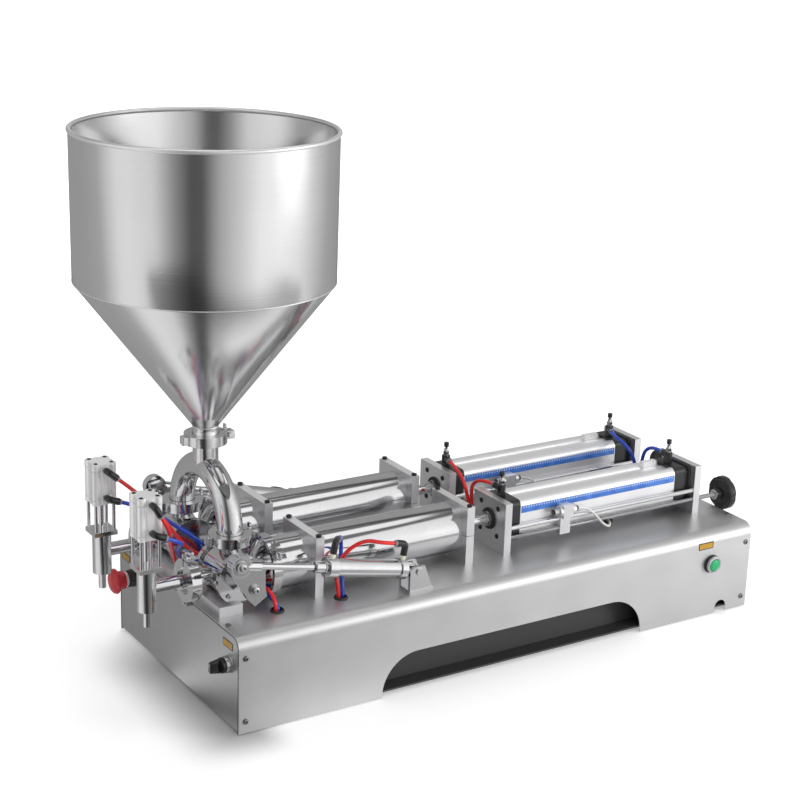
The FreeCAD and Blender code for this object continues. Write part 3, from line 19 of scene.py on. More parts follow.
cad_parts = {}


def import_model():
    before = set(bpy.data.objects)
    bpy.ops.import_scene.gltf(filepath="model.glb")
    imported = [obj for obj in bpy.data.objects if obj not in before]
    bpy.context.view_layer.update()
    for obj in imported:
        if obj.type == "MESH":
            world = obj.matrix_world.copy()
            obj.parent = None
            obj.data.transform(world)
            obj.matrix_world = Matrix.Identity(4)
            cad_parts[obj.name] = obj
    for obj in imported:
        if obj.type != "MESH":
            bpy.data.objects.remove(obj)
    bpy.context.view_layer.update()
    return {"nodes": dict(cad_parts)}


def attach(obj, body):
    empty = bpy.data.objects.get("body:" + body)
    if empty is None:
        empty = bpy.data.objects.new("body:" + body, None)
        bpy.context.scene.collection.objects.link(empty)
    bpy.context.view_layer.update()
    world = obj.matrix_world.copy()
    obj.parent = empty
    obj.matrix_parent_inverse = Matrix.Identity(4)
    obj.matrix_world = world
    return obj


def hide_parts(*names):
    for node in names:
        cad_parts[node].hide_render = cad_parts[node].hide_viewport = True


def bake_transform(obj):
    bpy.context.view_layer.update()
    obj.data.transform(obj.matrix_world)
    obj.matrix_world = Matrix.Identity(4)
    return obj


log = logging.getLogger("filling_machine")
MM = 0.001
SIDES = {"near": -1, "far": 1}
CORNERS = ((-1, -1), (-1, 1), (1, -1), (1, 1))
HEAD_Y = 79.5
AXIS_Z = 197.0
VALVE_X = -431.0
NOZZLE_X = -563.0
GUIDE_Y = 38.5
CASE_X, CASE_Y, CASE_Z = 480.0, 204.0, 149.0
Rows = Sequence[Sequence[float]]


class Axis(Enum):
    """The world way that a turned piece's own Z takes, with its X and Y ways before it."""

    X = ((0, 1, 0), (0, 0, 1), (1, 0, 0))
    Y = ((0, 0, 1), (1, 0, 0), (0, 1, 0))
    Z = ((1, 0, 0), (0, 1, 0), (0, 0, 1))
    BACK_X = ((0, 1, 0), (0, 0, -1), (-1, 0, 0))
    BACK_Y = ((1, 0, 0), (0, 0, 1), (0, -1, 0))


@dataclass
class Patch:
    """A bare surface: points in millimetres and four-sided faces between them."""

    points: np.ndarray
    faces: np.ndarray

    def placed(self, origin: Sequence[float], axis: "Axis | Rows" = Axis.Z) -> "Patch":
        """Turn the patch's own ways onto world ways and move its origin.

        Args:
            origin: Where the patch's own origin goes, in millimetres.
            axis: An Axis, or the world ways of the patch's own X, Y and Z.

        Returns:
            A new patch.
        """
        ways = axis.value if isinstance(axis, Axis) else axis
        return Patch(self.points @ np.array(ways, float) + np.array(origin, float), self.faces)


def around(steps: int) -> np.ndarray:
    """Return equal angles once round, in radians."""
    return np.linspace(0, 2 * np.pi, steps, endpoint=False)


def circle(angle: np.ndarray) -> np.ndarray:
    """Return the points of a unit circle at some angles: (cos a, sin a)."""
    return np.column_stack([np.cos(angle), np.sin(angle)])


def grid(points: np.ndarray, close_rows: bool = False, close_columns: bool = False) -> Patch:
    """Join a rows x columns x 3 array of points into a surface.

    Args:
        points: The points of the grid.
        close_rows: Whether the last row joins the first.
        close_columns: Whether the last column joins the first.

    Returns:
        The surface as a patch.
    """
    rows, columns = points.shape[:2]
    index = np.arange(rows * columns).reshape(rows, columns)
    if close_rows:
        index = np.vstack([index, index[:1]])
    if close_columns:
        index = np.hstack([index, index[:, :1]])
    corners = [index[:-1, :-1], index[:-1, 1:], index[1:, 1:], index[1:, :-1]]
    return Patch(points.reshape(-1, 3), np.stack(corners, axis=-1).reshape(-1, 4))


def lathe(profile: Rows, sides: int, closed: bool = False, shaping: np.ndarray | None = None) -> Patch:
    """Turn a profile about its own Z: x = r cos a, y = r sin a, z = h, with r times shaping.

    Args:
        profile: Rows of radius and height. A radius of 0 is a pole.
        sides: How many steps go round.
        closed: Whether the profile is a loop, as for a ring.
        shaping: Factors on the radius, one row for each profile row or one for all.

    Returns:
        The surface of revolution.
    """
    rows = np.array(profile, float)
    angle = around(sides)
    radius = rows[:, :1] * (np.ones((len(rows), sides)) if shaping is None else shaping)
    height = np.repeat(rows[:, 1:2], sides, axis=1)
    points = np.stack([radius * np.cos(angle), radius * np.sin(angle), height], axis=-1)
    return grid(points, close_rows=closed, close_columns=True)


def bead(radius: float, thickness: float, height: float, sides: int = 64) -> Patch:
    """Return a round bead about Z: a circle of half the thickness carried round a circle."""
    return lathe(circle(around(10)) * (thickness / 2) + (radius, height), sides, closed=True)


def bar(outline: np.ndarray, length: float, chamfer: float) -> Patch:
    """Carry an outline along Z, drawn in towards its middle over a chamfer at both ends.

    Args:
        outline: The outline's points in the XY plane, round its middle.
        length: How long the bar is.
        chamfer: The width of the worn edge at each end.

    Returns:
        The closed bar, its ends fanned to their middles.
    """
    middle = outline.mean(axis=0)
    reach = np.linalg.norm(outline - middle, axis=1).mean()
    shares = np.array([0, 1 - chamfer / reach, 1, 1, 1 - chamfer / reach, 0])
    heights = np.array([0, 0, chamfer, length - chamfer, length, length])
    flat = middle + shares[:, None, None] * (outline - middle)
    tall = np.broadcast_to(heights[:, None, None], flat.shape[:2] + (1,))
    return grid(np.concatenate([flat, tall], axis=-1), close_columns=True)


def rounded_outline(half_x: float, half_y: float, corner: float, steps: int = 5) -> np.ndarray:
    """Lay a rectangle with round corners: each corner is a quarter circle of points.

    Args:
        half_x: Half the width.
        half_y: Half the height.
        corner: The corners' radius.
        steps: How many points each corner has.

    Returns:
        The outline's points in the XY plane.
    """
    quarter = np.linspace(0, np.pi / 2, steps)
    turns = np.concatenate([quarter + np.pi / 2 * k for k in range(4)])
    signs = np.repeat(np.array([[1, 1], [-1, 1], [-1, -1], [1, -1]]), steps, axis=0)
    centres = signs * np.array([half_x - corner, half_y - corner])
    return centres + corner * circle(turns)


def tube(path: np.ndarray, radius: "float | np.ndarray", sides: int, aside: Sequence[float]) -> Patch:
    """Carry a circle along a path: point = path + r (n cos a + b sin a), n = t x aside, b = t x n.

    Args:
        path: The points that the tube's middle follows.
        radius: The radius, or one radius for each point.
        sides: How many steps go round.
        aside: A way that the path never runs along.

    Returns:
        The tube with its two ends closed.
    """
    way = np.gradient(path, axis=0)
    way /= np.linalg.norm(way, axis=1, keepdims=True)
    first = np.cross(way, np.array(aside, float))
    first /= np.linalg.norm(first, axis=1, keepdims=True)
    second = np.cross(way, first)
    angle = around(sides)
    size = np.broadcast_to(np.asarray(radius, float), (len(path),))[:, None, None]
    rings = path[:, None] + size * (first[:, None] * np.cos(angle)[:, None]
                                    + second[:, None] * np.sin(angle)[:, None])
    ends = [np.repeat(path[k][None, None], sides, axis=1) for k in (0, -1)]
    return grid(np.concatenate([ends[0], rings, ends[1]]), close_columns=True)


def screw_head(radius: float, height: float, socket: float, dome: float = 0.0) -> Patch:
    """Turn a screw's head: r = socket / cos(a mod 60 degrees) in the socket, a circle outside.

    Args:
        radius: The head's radius.
        height: The head's height.
        socket: Half the socket's width across flats.
        dome: How much lower the rim is than the socket's edge.

    Returns:
        The head, standing on Z = 0.
    """
    sides, edge, worn = 24, 0.25, 0.35
    floor = height * 0.5
    profile = [(0, floor), (socket, floor), (socket, height), (socket + edge, height),
               (radius * 0.85, height - dome * 0.55), (radius, height - dome - worn), (radius, 0), (0, 0)]
    shaping = np.ones((len(profile), sides))
    shaping[1:4] = 1 / np.cos(np.mod(around(sides), np.pi / 3) - np.pi / 6)
    return lathe(profile, sides, shaping=shaping)


def make_mesh(name: str, patches: Sequence[Patch], material: Any, crease: float = 180.0) -> Any:
    """Make one mesh out of patches, with its doubled points welded and its normals outwards.

    Args:
        name: The mesh's name.
        patches: Its surfaces, in millimetres.
        material: Its only material.
        crease: The angle in degrees past which an edge stays sharp.

    Returns:
        The new mesh, in metres.
    """
    starts = np.cumsum([0] + [len(patch.points) for patch in patches[:-1]])
    points = np.concatenate([patch.points for patch in patches]) * MM
    faces = np.concatenate([patch.faces + start for patch, start in zip(patches, starts)])
    mesh = bpy.data.meshes.new(name)
    mesh.from_pydata(points.tolist(), [], faces.tolist())
    shape = bmesh.new()
    shape.from_mesh(mesh)
    bmesh.ops.remove_doubles(shape, verts=shape.verts, dist=1e-6)
    bmesh.ops.recalc_face_normals(shape, faces=shape.faces)
    for edge in shape.edges:
        edge.smooth = len(edge.link_faces) != 2 or edge.calc_face_angle(0.0) < math.radians(crease)
    shape.to_mesh(mesh)
    shape.free()
    mesh.shade_smooth()
    mesh.materials.append(material)
    return mesh


def put_up(name: str, data: Any) -> Any:
    """Put an object in the scene.

    Args:
        name: The object's name.
        data: Its mesh, curve, camera or lamp.

    Returns:
        The new object.
    """
    thing = bpy.data.objects.new(name, data)
    bpy.context.scene.collection.objects.link(thing)
    return thing


class Socket:
    """A shader value that Python operators work on, each adding a Math node."""

    def __init__(self, paint: "Paint", link: Any) -> None:
        """Keep the paint that owns the nodes, and the socket itself."""
        self.paint = paint
        self.link = link

    def _math(self, operation: str, *values: Any) -> "Socket":
        """Add a Math node on values and return its result."""
        inputs = dict(enumerate(values))
        return self.paint.node("ShaderNodeMath", {"operation": operation}, inputs)

    def __add__(self, other: Any) -> "Socket":
        """Return this value plus another."""
        return self._math("ADD", self, other)

    __radd__ = __add__

    def __mul__(self, other: Any) -> "Socket":
        """Return this value times another."""
        return self._math("MULTIPLY", self, other)

    __rmul__ = __mul__

    def __sub__(self, other: Any) -> "Socket":
        """Return this value less another."""
        return self._math("SUBTRACT", self, other)

    def __rsub__(self, other: Any) -> "Socket":
        """Return another value less this one."""
        return self._math("SUBTRACT", other, self)

    def repeated(self, step: float) -> "Socket":
        """Return this value going up from 0 to the step and down again, over and over."""
        return self._math("PINGPONG", self, step)

    def most(self, other: Any) -> "Socket":
        """Return the greater of two values."""
        return self._math("MAXIMUM", self, other)

    def angle_over(self, across: Any) -> "Socket":
        """Return the angle in radians whose tangent is this value over another."""
        return self._math("ARCTAN2", self, across)

    def between(self, low: float, high: float) -> "Socket":
        """Return how far this value has gone from low to high, smoothly, from 0 to 1."""
        inputs = {"Value": self, "From Min": low, "From Max": high}
        return self.paint.node("ShaderNodeMapRange", {"interpolation_type": "SMOOTHSTEP"}, inputs)

    def within(self, rise: float, full: float, fall: float, end: float) -> "Socket":
        """Return 1 from full to fall, going smoothly to 0 at rise and at end."""
        return self.between(rise, full) * (1.0 - self.between(fall, end))


class Paint:
    """Builds one material's or the world's nodes."""

    def __init__(self, owner: Any) -> None:
        """Start from an empty tree.

        Args:
            owner: The material or world that the nodes belong to.
        """
        owner.use_nodes = True
        self.owner = owner
        self.tree = owner.node_tree
        self.tree.nodes.clear()

    @classmethod
    def material(cls, name: str) -> "Paint":
        """Return the paint of a new material."""
        return cls(bpy.data.materials.new(name))

    def node(self, kind: str, settings: dict[str, Any], inputs: dict[Any, Any], output: Any = 0) -> Socket:
        """Add a node.

        Args:
            kind: The node's type.
            settings: Its own settings, set first. "stops" sets a ramp's places and colours.
            inputs: Values or links of its sockets, by name or number.
            output: The output to return, by name or number.

        Returns:
            The wrapped output.
        """
        made = self.tree.nodes.new(kind)
        for name, value in settings.items():
            if name == "stops":
                self._set_stops(made.color_ramp, value)
            else:
                setattr(made, name, value)
        for name, value in inputs.items():
            if isinstance(value, Socket):
                self.tree.links.new(value.link, made.inputs[name])
            else:
                made.inputs[name].default_value = value
        return Socket(self, made.outputs[output] if made.outputs else None)

    @staticmethod
    def _set_stops(ramp: Any, stops: Sequence[tuple[float, Sequence[float]]]) -> None:
        """Give a colour ramp its places and colours.

        Args:
            ramp: The colour ramp.
            stops: A place and a colour for each stop.
        """
        while len(ramp.elements) < len(stops):
            ramp.elements.new(0.5)
        for element, (place, colour) in zip(ramp.elements, stops):
            element.position = place
            element.color = (*colour, 1)

    def place(self) -> Socket:
        """Return the surface's own place in metres, from Object coordinates."""
        return self.node("ShaderNodeTexCoord", {}, {}, "Object")

    def ways(self) -> tuple[Socket, ...]:
        """Return the surface's own X, Y and Z in metres."""
        split = self.node("ShaderNodeSeparateXYZ", {}, {"Vector": self.place()}).link.node
        return tuple(Socket(self, way) for way in split.outputs)

    def stretched(self, scale: Sequence[float]) -> Socket:
        """Return the surface's place times a scale on each axis."""
        return self.node("ShaderNodeMapping", {}, {"Vector": self.place(), "Scale": tuple(scale)})

    def noise(self, at: Socket, scale: float, detail: float = 2.0) -> Socket:
        """Return smooth noise from 0 to 1."""
        return self.node("ShaderNodeTexNoise", {}, {"Vector": at, "Scale": scale, "Detail": detail}, "Fac")

    def blend(self, share: Any, first: Any, second: Any) -> Socket:
        """Mix two colours by a share."""
        first, second = ((*c, 1) if isinstance(c, tuple) else c for c in (first, second))
        return self.node("ShaderNodeMix", {"data_type": "RGBA"}, {0: share, 6: first, 7: second}, 2)

    def bump(self, height: Socket, depth: float, strength: float = 1.0) -> Socket:
        """Return the normal that a height of 0 to 1 gives over a depth in metres."""
        inputs = {"Height": height, "Distance": depth, "Strength": strength}
        return self.node("ShaderNodeBump", {}, inputs, "Normal")

    def light(self, strength: Any, colour: Any = (1, 1, 1, 1), kind: str = "Emission") -> Socket:
        """Return an emission or a background of a colour and a strength."""
        return self.node("ShaderNode" + kind, {}, {"Color": colour, "Strength": strength})

    def seen_or(self, hidden: Socket, shown: Socket) -> Socket:
        """Keep one shader for rays from the camera and rays off mirrors and through glass.

        Args:
            hidden: The shader for all other rays.
            shown: The shader for those rays.

        Returns:
            The mixed shader.
        """
        camera, glossy, through = (self.node("ShaderNodeLightPath", {}, {}, f"Is {name} Ray")
                                   for name in ("Camera", "Glossy", "Transmission"))
        share = camera.most(glossy).most(through)
        return self.node("ShaderNodeMixShader", {}, {0: share, 1: hidden, 2: shown})

    def close(self, shader: Socket, output: str = "ShaderNodeOutputMaterial") -> Any:
        """Send a shader to the output and return the material or world."""
        self.node(output, {}, {"Surface": shader})
        return self.owner

    def surface(self, inputs: dict[str, Any]) -> Any:
        """Finish the material as one Principled surface and return it."""
        return self.close(self.node("ShaderNodeBsdfPrincipled", {}, inputs))


@dataclass(frozen=True)
class Metal:
    """A ground, brushed or polished metal with its grain, smears and worn edges (in millimetres).

    The shares say how much of the roughness is even, follows the grain and follows the smears.
    """

    name: str
    colour: tuple[float, float, float]
    roughness: float
    grain: tuple[float, float, float] = (300.0, 300.0, 300.0)
    grain_depth: float = 0.00002
    tone: float = 0.06
    metallic: float = 1.0
    edge: float = 0.0
    strength: float = 0.35
    smear_scale: float = 14.0
    mottle: tuple[float, float] = (0.3, 0.7)
    shares: tuple[float, float, float] = (0.72, 0.3, 0.26)

    def make(self) -> Any:
        """Let grain drive roughness and bump, and broad noise drive colour.

        Returns:
            The material.
        """
        paint = Paint.material(self.name)
        grain = paint.noise(paint.stretched(self.grain), 1.0, 3.0)
        smear = paint.noise(paint.place(), self.smear_scale, 3.0)
        dark = tuple(c * (1 - self.tone) for c in self.colour)
        pale = tuple(min(1.0, c * (1 + self.tone)) for c in self.colour)
        colour = paint.blend((grain * 0.5 + smear * 0.5).between(*self.mottle), dark, pale)
        even, grainy, smeared = (self.roughness * share for share in self.shares)
        roughness = even + grain * grainy + smear * smeared
        normal = paint.bump(grain, self.grain_depth, self.strength)
        if self.edge:
            inputs = {"Radius": self.edge * MM, "Normal": normal}
            normal = paint.node("ShaderNodeBevel", {"samples": 4}, inputs)
        return paint.surface({"Base Color": colour, "Metallic": self.metallic, "Roughness": roughness,
                              "Normal": normal})


@dataclass(frozen=True)
class Plastic:
    """Moulded plastic or rubber with a fine spark-eroded skin.

    The shares say how much of the roughness is even and how much follows the handling.
    """

    name: str
    colour: tuple[float, float, float]
    roughness: float
    skin_depth: float = 0.00003
    skin_scale: float = 2600.0
    coat: float = 0.0
    handling_scale: float = 35.0
    mottle: tuple[float, float] = (0.3, 0.7)
    darker: float = 0.86
    paler: float = 1.12
    shares: tuple[float, float] = (0.85, 0.3)

    def make(self) -> Any:
        """Let fine noise be the moulded skin and broad noise the handling.

        Returns:
            The material.
        """
        paint = Paint.material(self.name)
        skin = paint.noise(paint.place(), self.skin_scale, 2.0)
        handling = paint.noise(paint.place(), self.handling_scale, 3.0)
        dark = tuple(c * self.darker for c in self.colour)
        pale = tuple(min(1.0, c * self.paler + 0.004) for c in self.colour)
        colour = paint.blend(handling.between(*self.mottle), dark, pale)
        even, handled = (self.roughness * share for share in self.shares)
        roughness = even + handling * handled
        return paint.surface({"Base Color": colour, "Roughness": roughness, "Coat Weight": self.coat,
                              "Normal": paint.bump(skin, self.skin_depth, 0.5)})


@dataclass(frozen=True)
class ScaleFilm:
    """The blue film along an air cylinder, with a row of pale ticks near its top.

    The step is in millimetres. The tick and the band are metres on the surface's own X and Z.
    """

    name: str = "blue_scale_film"
    tick_step: float = 5.0
    tick: tuple[float, float] = (0.0016, 0.0019)
    band: tuple[float, float, float, float] = (0.2165, 0.2169, 0.2192, 0.2196)

    def make(self) -> Any:
        """Let ticks repeat along X and stand in a band of Z.

        Returns:
            The material.
        """
        paint = Paint.material(self.name)
        along, _, height = paint.ways()
        ticks = along.repeated(self.tick_step / 2 * MM).between(*self.tick) * height.within(*self.band)
        worn = paint.noise(paint.place(), 60.0, 3.0)
        ground = paint.blend(worn.between(0.3, 0.75), (0.03, 0.13, 0.50), (0.07, 0.22, 0.66))
        colour = paint.blend(ticks, ground, (0.62, 0.72, 0.86))
        return paint.surface({"Base Color": colour, "Roughness": 0.28 + worn * 0.15})


class Finishes:
    """Every finish on the machine, made once and handed out by name."""

    recipes: tuple[Any, ...] = (
        Metal("case_sheet_along_x", (0.58, 0.58, 0.585), 0.42, (14.0, 1500.0, 1500.0), 0.00001, 0.03, 0.85),
        Metal("case_sheet_along_y", (0.50, 0.50, 0.505), 0.42, (1500.0, 14.0, 1500.0), 0.00001, 0.03, 0.85),
        Metal("hopper_sheet", (0.80, 0.80, 0.80), 0.15, (3.0, 3.0, 900.0), 0.00003, 0.02, strength=1.0),
        Metal("rim_sheet", (0.90, 0.90, 0.90), 0.3, (30.0, 30.0, 900.0), 0.00001, 0.02, 0.75),
        Metal("weld_bead", (0.88, 0.88, 0.88), 0.32, (900.0,) * 3, 0.00005, 0.04, 0.8),
        Metal("polished_steel", (0.78, 0.78, 0.79), 0.11, (500.0,) * 3, 0.00001, 0.05),
        Metal("cast_polished_steel", (0.74, 0.74, 0.75), 0.09, (420.0,) * 3, 0.000012, 0.08, 1.0, 0.5),
        Metal("ground_aluminium", (0.80, 0.80, 0.81), 0.3, (900.0, 900.0, 30.0), 0.00002, 0.04, 0.9, 0.5),
        Metal("profile_aluminium", (0.86, 0.86, 0.87), 0.32, (12.0, 1300.0, 1300.0), 0.00001, 0.03, 0.7),
        Metal("block_aluminium", (0.92, 0.92, 0.925), 0.24, (1300.0, 1300.0, 12.0), 0.00001, 0.03, 0.4),
        Metal("chromed_rod", (0.86, 0.86, 0.87), 0.07, (40.0, 900.0, 900.0), 0.000005, 0.03),
        Metal("bright_screw", (0.62, 0.62, 0.63), 0.24, (600.0,) * 3, 0.00002, 0.1),
        Metal("dull_screw", (0.26, 0.26, 0.27), 0.2, (600.0,) * 3, 0.00002, 0.1),
        Metal("dark_cap_alloy", (0.030, 0.030, 0.032), 0.38, (700.0,) * 3, 0.00003, 0.2, 0.4, 0.5),
        # Painted shade: the tray behind the case's front cut-out is dark grey to stand in for the shade
        # inside the case.
        Metal("recess_painted_shade", (0.034, 0.034, 0.035), 0.6, (800.0,) * 3, 0.00002, 0.06, 0.0),
        Plastic("black_plastic", (0.010, 0.010, 0.011), 0.22, coat=0.35),
        Plastic("black_rubber", (0.022, 0.022, 0.022), 0.7, 0.00006, 1500.0),
        Plastic("grey_collar", (0.22, 0.23, 0.25), 0.4),
        Plastic("pale_sleeve", (0.75, 0.74, 0.60), 0.35),
        Plastic("stop_red", (0.58, 0.012, 0.025), 0.25, 0.00001, coat=0.4),
        Plastic("start_green", (0.0, 0.36, 0.12), 0.22, 0.00001, coat=0.5),
        Plastic("hose_red", (0.74, 0.016, 0.014), 0.22, 0.00001, 700.0, 0.2),
        Plastic("hose_blue", (0.014, 0.06, 0.50), 0.22, 0.00001, 700.0, 0.2),
        Plastic("wire_white", (0.72, 0.72, 0.70), 0.4),
        Plastic("amber_film", (0.50, 0.27, 0.012), 0.4, 0.00001),
        ScaleFilm(),
    )

    def __init__(self) -> None:
        """Build every finish."""
        self.made = {recipe.name: recipe.make() for recipe in self.recipes}

    def __getitem__(self, name: str) -> Any:
        """Return the material of one finish."""
        return self.made[name]


class Workshop:
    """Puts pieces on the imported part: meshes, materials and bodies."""

    def __init__(self, nodes: dict[str, Any], finishes: Finishes) -> None:
        """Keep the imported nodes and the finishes."""
        self.nodes = nodes
        self.finishes = finishes

    def dress(self, finish: str, nodes: Sequence[str]) -> None:
        """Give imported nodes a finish.

        Args:
            finish: The name of the finish.
            nodes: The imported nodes' names.
        """
        for node in nodes:
            owner = self.nodes[node]
            if not owner.material_slots:
                owner.data.materials.append(self.finishes[finish])
            for slot in owner.material_slots:
                slot.material = self.finishes[finish]
            log.info("dressed %s as %s", node, finish)

    def add(self, name: str, patches: Sequence[Patch], finish: str, slot: str = "", body: str = "machine",
            replaces: Sequence[str] = (), crease: float = 32.0) -> None:
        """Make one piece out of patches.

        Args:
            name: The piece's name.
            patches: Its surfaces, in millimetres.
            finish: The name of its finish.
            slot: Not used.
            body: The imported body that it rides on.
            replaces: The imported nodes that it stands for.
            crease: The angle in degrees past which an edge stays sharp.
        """
        mesh = make_mesh(name, patches, self.finishes[finish], crease)
        piece = put_up(name, mesh)
        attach(piece, body)
        if replaces:
            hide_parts(*replaces)
        log.info("made %s, %d faces, on %s", name, len(mesh.polygons), body)


@dataclass
class Studio:
    """The camera at the photograph's place, a pale floor, soft lamps and what the metal mirrors."""

    camera_place: tuple[float, float, float] = (-1543.18, -2252.41, 1231.83)
    azimuth: float = -32.733
    elevation: float = 17.483
    roll: float = 1.890
    lens: float = 81.19
    world_light: float = 0.62
    floor_half: float = 26000.0
    floor_z: float = -0.4
    floor_tone: float = 0.9
    # The painted shadow's tone on the floor left of the machine.
    painted_shadow_tone: float = 0.55
    floor_glow: tuple[float, float] = (0.34, 0.6)
    low_dark: float = 0.66
    beyond_dark: float = 0.55
    top_dark: float = 0.8
    ceiling_light: float = 0.18
    strip_light: float = 0.9
    back_light: float = 0.5
    # The next bands are metres on a sheet's own axes, as the shaders read them: where a tone
    # starts and is full, and then, where there are four numbers, starts to fall and ends.
    # Painted shadow: the patch of floor left of the machine's head end that is darker and glows less.
    painted_shadow_x: tuple[float, float, float, float] = (-0.595, -0.475, -0.46, -0.4)
    painted_shadow_y: tuple[float, float, float, float] = (-0.29, -0.2, 0.03, 0.21)
    glow_away: tuple[float, float] = (0.9, 3.5)
    front_y: tuple[float, float, float, float] = (-1.15, -0.85, -0.4, -0.2)
    beyond_y: tuple[float, float] = (-0.62, -0.45)
    fading_x: tuple[float, float] = (0.15, 1.0)
    low_z: tuple[float, float] = (0.0, 0.04)
    top_z: tuple[float, float] = (1.38, 1.48)
    strip_y: tuple[float, float, float, float] = (-0.50, -0.38, 0.12, 0.25)
    back_y: tuple[float, float, float, float] = (0.6, 0.7, 0.85, 0.95)
    card_radius: float = 1260.0
    card_top: float = 1750.0
    card_tones: tuple[tuple[float, float], ...] = (
        (0.0, 0.84), (0.062, 0.74), (0.109, 0.3), (0.145, 0.09), (0.173, 0.1), (0.209, 0.44), (0.256, 0.7),
        (0.304, 1.0), (0.354, 1.04), (0.406, 0.92), (0.465, 0.62), (0.515, 0.42), (0.595, 0.32), (0.659, 0.3),
        (0.751, 0.32), (0.854, 0.36), (0.912, 0.42), (0.970, 0.82), (1.0, 0.84),
    )
    lamps_aim: tuple[float, float, float] = (0.0, 0.0, 250.0)
    boxes: tuple[tuple[str, tuple[float, float, float], float, float], ...] = (
        ("key_box", (-900, -2300, 2600), 1.6, 14.0),
        ("fill_box", (2000, -2000, 500), 1.2, 44.0),
        ("back_box", (900, 2300, 2400), 1.8, 28.0),
    )

    def build(self) -> None:
        """Set the camera, world, floor, lamps and mirror cards."""
        self._camera()
        self._world()
        self._floor()
        self._cards()
        self._lamps()
        bpy.context.scene.view_settings.view_transform = "Standard"

    def _camera(self) -> None:
        """Turn the camera by azimuth, elevation and roll about the line to the machine."""
        turn, above, lean = (math.radians(a) for a in (self.azimuth, self.elevation, self.roll))
        back = Vector((math.sin(turn) * math.cos(above), -math.cos(turn) * math.cos(above), math.sin(above)))
        right = Vector((math.cos(turn), math.sin(turn), 0.0))
        up = back.cross(right)
        leant_right = right * math.cos(lean) + up * math.sin(lean)
        leant_up = up * math.cos(lean) - right * math.sin(lean)
        data = bpy.data.cameras.new("photo_camera")
        data.lens = self.lens
        data.sensor_width = 36.0
        data.clip_start = 0.05
        data.clip_end = 60.0
        camera = put_up("photo_camera", data)
        columns = Matrix((leant_right, leant_up, back)).transposed()
        camera.matrix_world = Matrix.Translation(Vector(self.camera_place) * MM) @ columns.to_4x4()
        bpy.context.scene.camera = camera

    def _world(self) -> None:
        """Light the object with an even grey and show white behind it."""
        paint = Paint(bpy.data.worlds.new("studio_world"))
        lit, shown = (paint.light(level, kind="Background") for level in (self.world_light, 1.0))
        bpy.context.scene.world = paint.close(paint.seen_or(lit, shown), "ShaderNodeOutputWorld")

    def _sheet(self, name: str, points: np.ndarray, material: Any, x: float = 0.0) -> Any:
        """Put up one sheet of the studio.

        Args:
            name: The sheet's name.
            points: Its grid of points, in millimetres.
            material: Its material.
            x: Where its origin stands on the X axis.

        Returns:
            The new object.
        """
        sheet = put_up(name, make_mesh(name, [grid(points)], material))
        sheet.location.x = x * MM
        return sheet

    def _floor(self) -> None:
        """Lay a pale floor with a painted shadow left of the machine: point = (x, y, 0) over a square."""
        paint = Paint.material("studio_floor")
        x, y, _ = paint.ways()
        # Painted shadow: a patch of floor left of the machine is darker and glows less.
        painted_shadow = x.within(*self.painted_shadow_x) * y.within(*self.painted_shadow_y)
        colour = paint.blend(painted_shadow, (self.floor_tone,) * 3, (self.painted_shadow_tone,) * 3)
        base = paint.node("ShaderNodeBsdfDiffuse", {}, {"Color": colour})
        away = paint.node("ShaderNodeVectorMath", {"operation": "LENGTH"}, {0: paint.place()}, "Value")
        near, more = self.floor_glow
        glow = paint.light((away.between(*self.glow_away) * more + near) * (1.0 - painted_shadow))
        both = paint.node("ShaderNodeAddShader", {}, {0: base, 1: glow})
        across = np.linspace(-self.floor_half, self.floor_half, 3)
        points = np.stack([*np.meshgrid(across, across), np.full((3, 3), self.floor_z)], axis=-1)
        self._sheet("floor", points, paint.close(paint.seen_or(base, both)))

    def _cards(self) -> None:
        """Set grey cards round, under and over the machine, for its metal to mirror.

        The ring's tone follows the angle round the hopper. It is darker near its top, and on the
        floor card in front of the machine.
        """
        paint = Paint.material("studio_cards")
        x, y, height = paint.ways()
        turn = y.angle_over(x) * (0.5 / math.pi) + 0.5
        stops = [(place, (tone,) * 3) for place, tone in self.card_tones]
        tone = paint.node("ShaderNodeValToRGB", {"stops": stops}, {"Fac": turn})
        low = 1.0 - height.between(*self.low_z)
        beyond = 1.0 - y.between(*self.beyond_y)
        dark = (self.low_dark - x.between(*self.fading_x) * self.low_dark).most(beyond * self.beyond_dark)
        shaded = 1.0 - y.within(*self.front_y) * low * dark
        topped = shaded * (1.0 - height.between(*self.top_z) * self.top_dark)
        cards = paint.close(paint.light(topped, tone))
        paint = Paint.material("studio_ceiling")
        _, y, _ = paint.ways()
        strip, back = y.within(*self.strip_y), y.within(*self.back_y)
        level = strip * self.strip_light + back * self.back_light + self.ceiling_light
        ceiling = paint.close(paint.light(level))
        edge, top = self.card_radius, self.card_top
        self._card("mirror_ring", (edge, 1.0), (edge, top), cards)
        self._card("mirror_floor", (30.0, 1.0), (edge, 1.0), cards)
        self._card("mirror_ceiling", (1.0, top), (edge, top), ceiling)

    def _card(self, name: str, first: Sequence[float], last: Sequence[float], material: Any) -> None:
        """Put up a card that only mirroring metal sees, round the hopper's axis.

        It turns a line between two (radius, height) ends: point = (r cos a, r sin a, z).

        Args:
            name: The card's name.
            first: The line's first radius and height.
            last: The line's last radius and height.
            material: The card's material.
        """
        angle = np.linspace(-np.pi, np.pi, 97)
        radius, z = np.array([first, last]).T[:, :, None]
        points = np.stack([radius * np.cos(angle), radius * np.sin(angle), z + 0 * angle], axis=-1)
        card = self._sheet(name, points, material, VALVE_X)
        card.visible_camera = card.visible_diffuse = False
        card.visible_shadow = card.visible_transmission = False

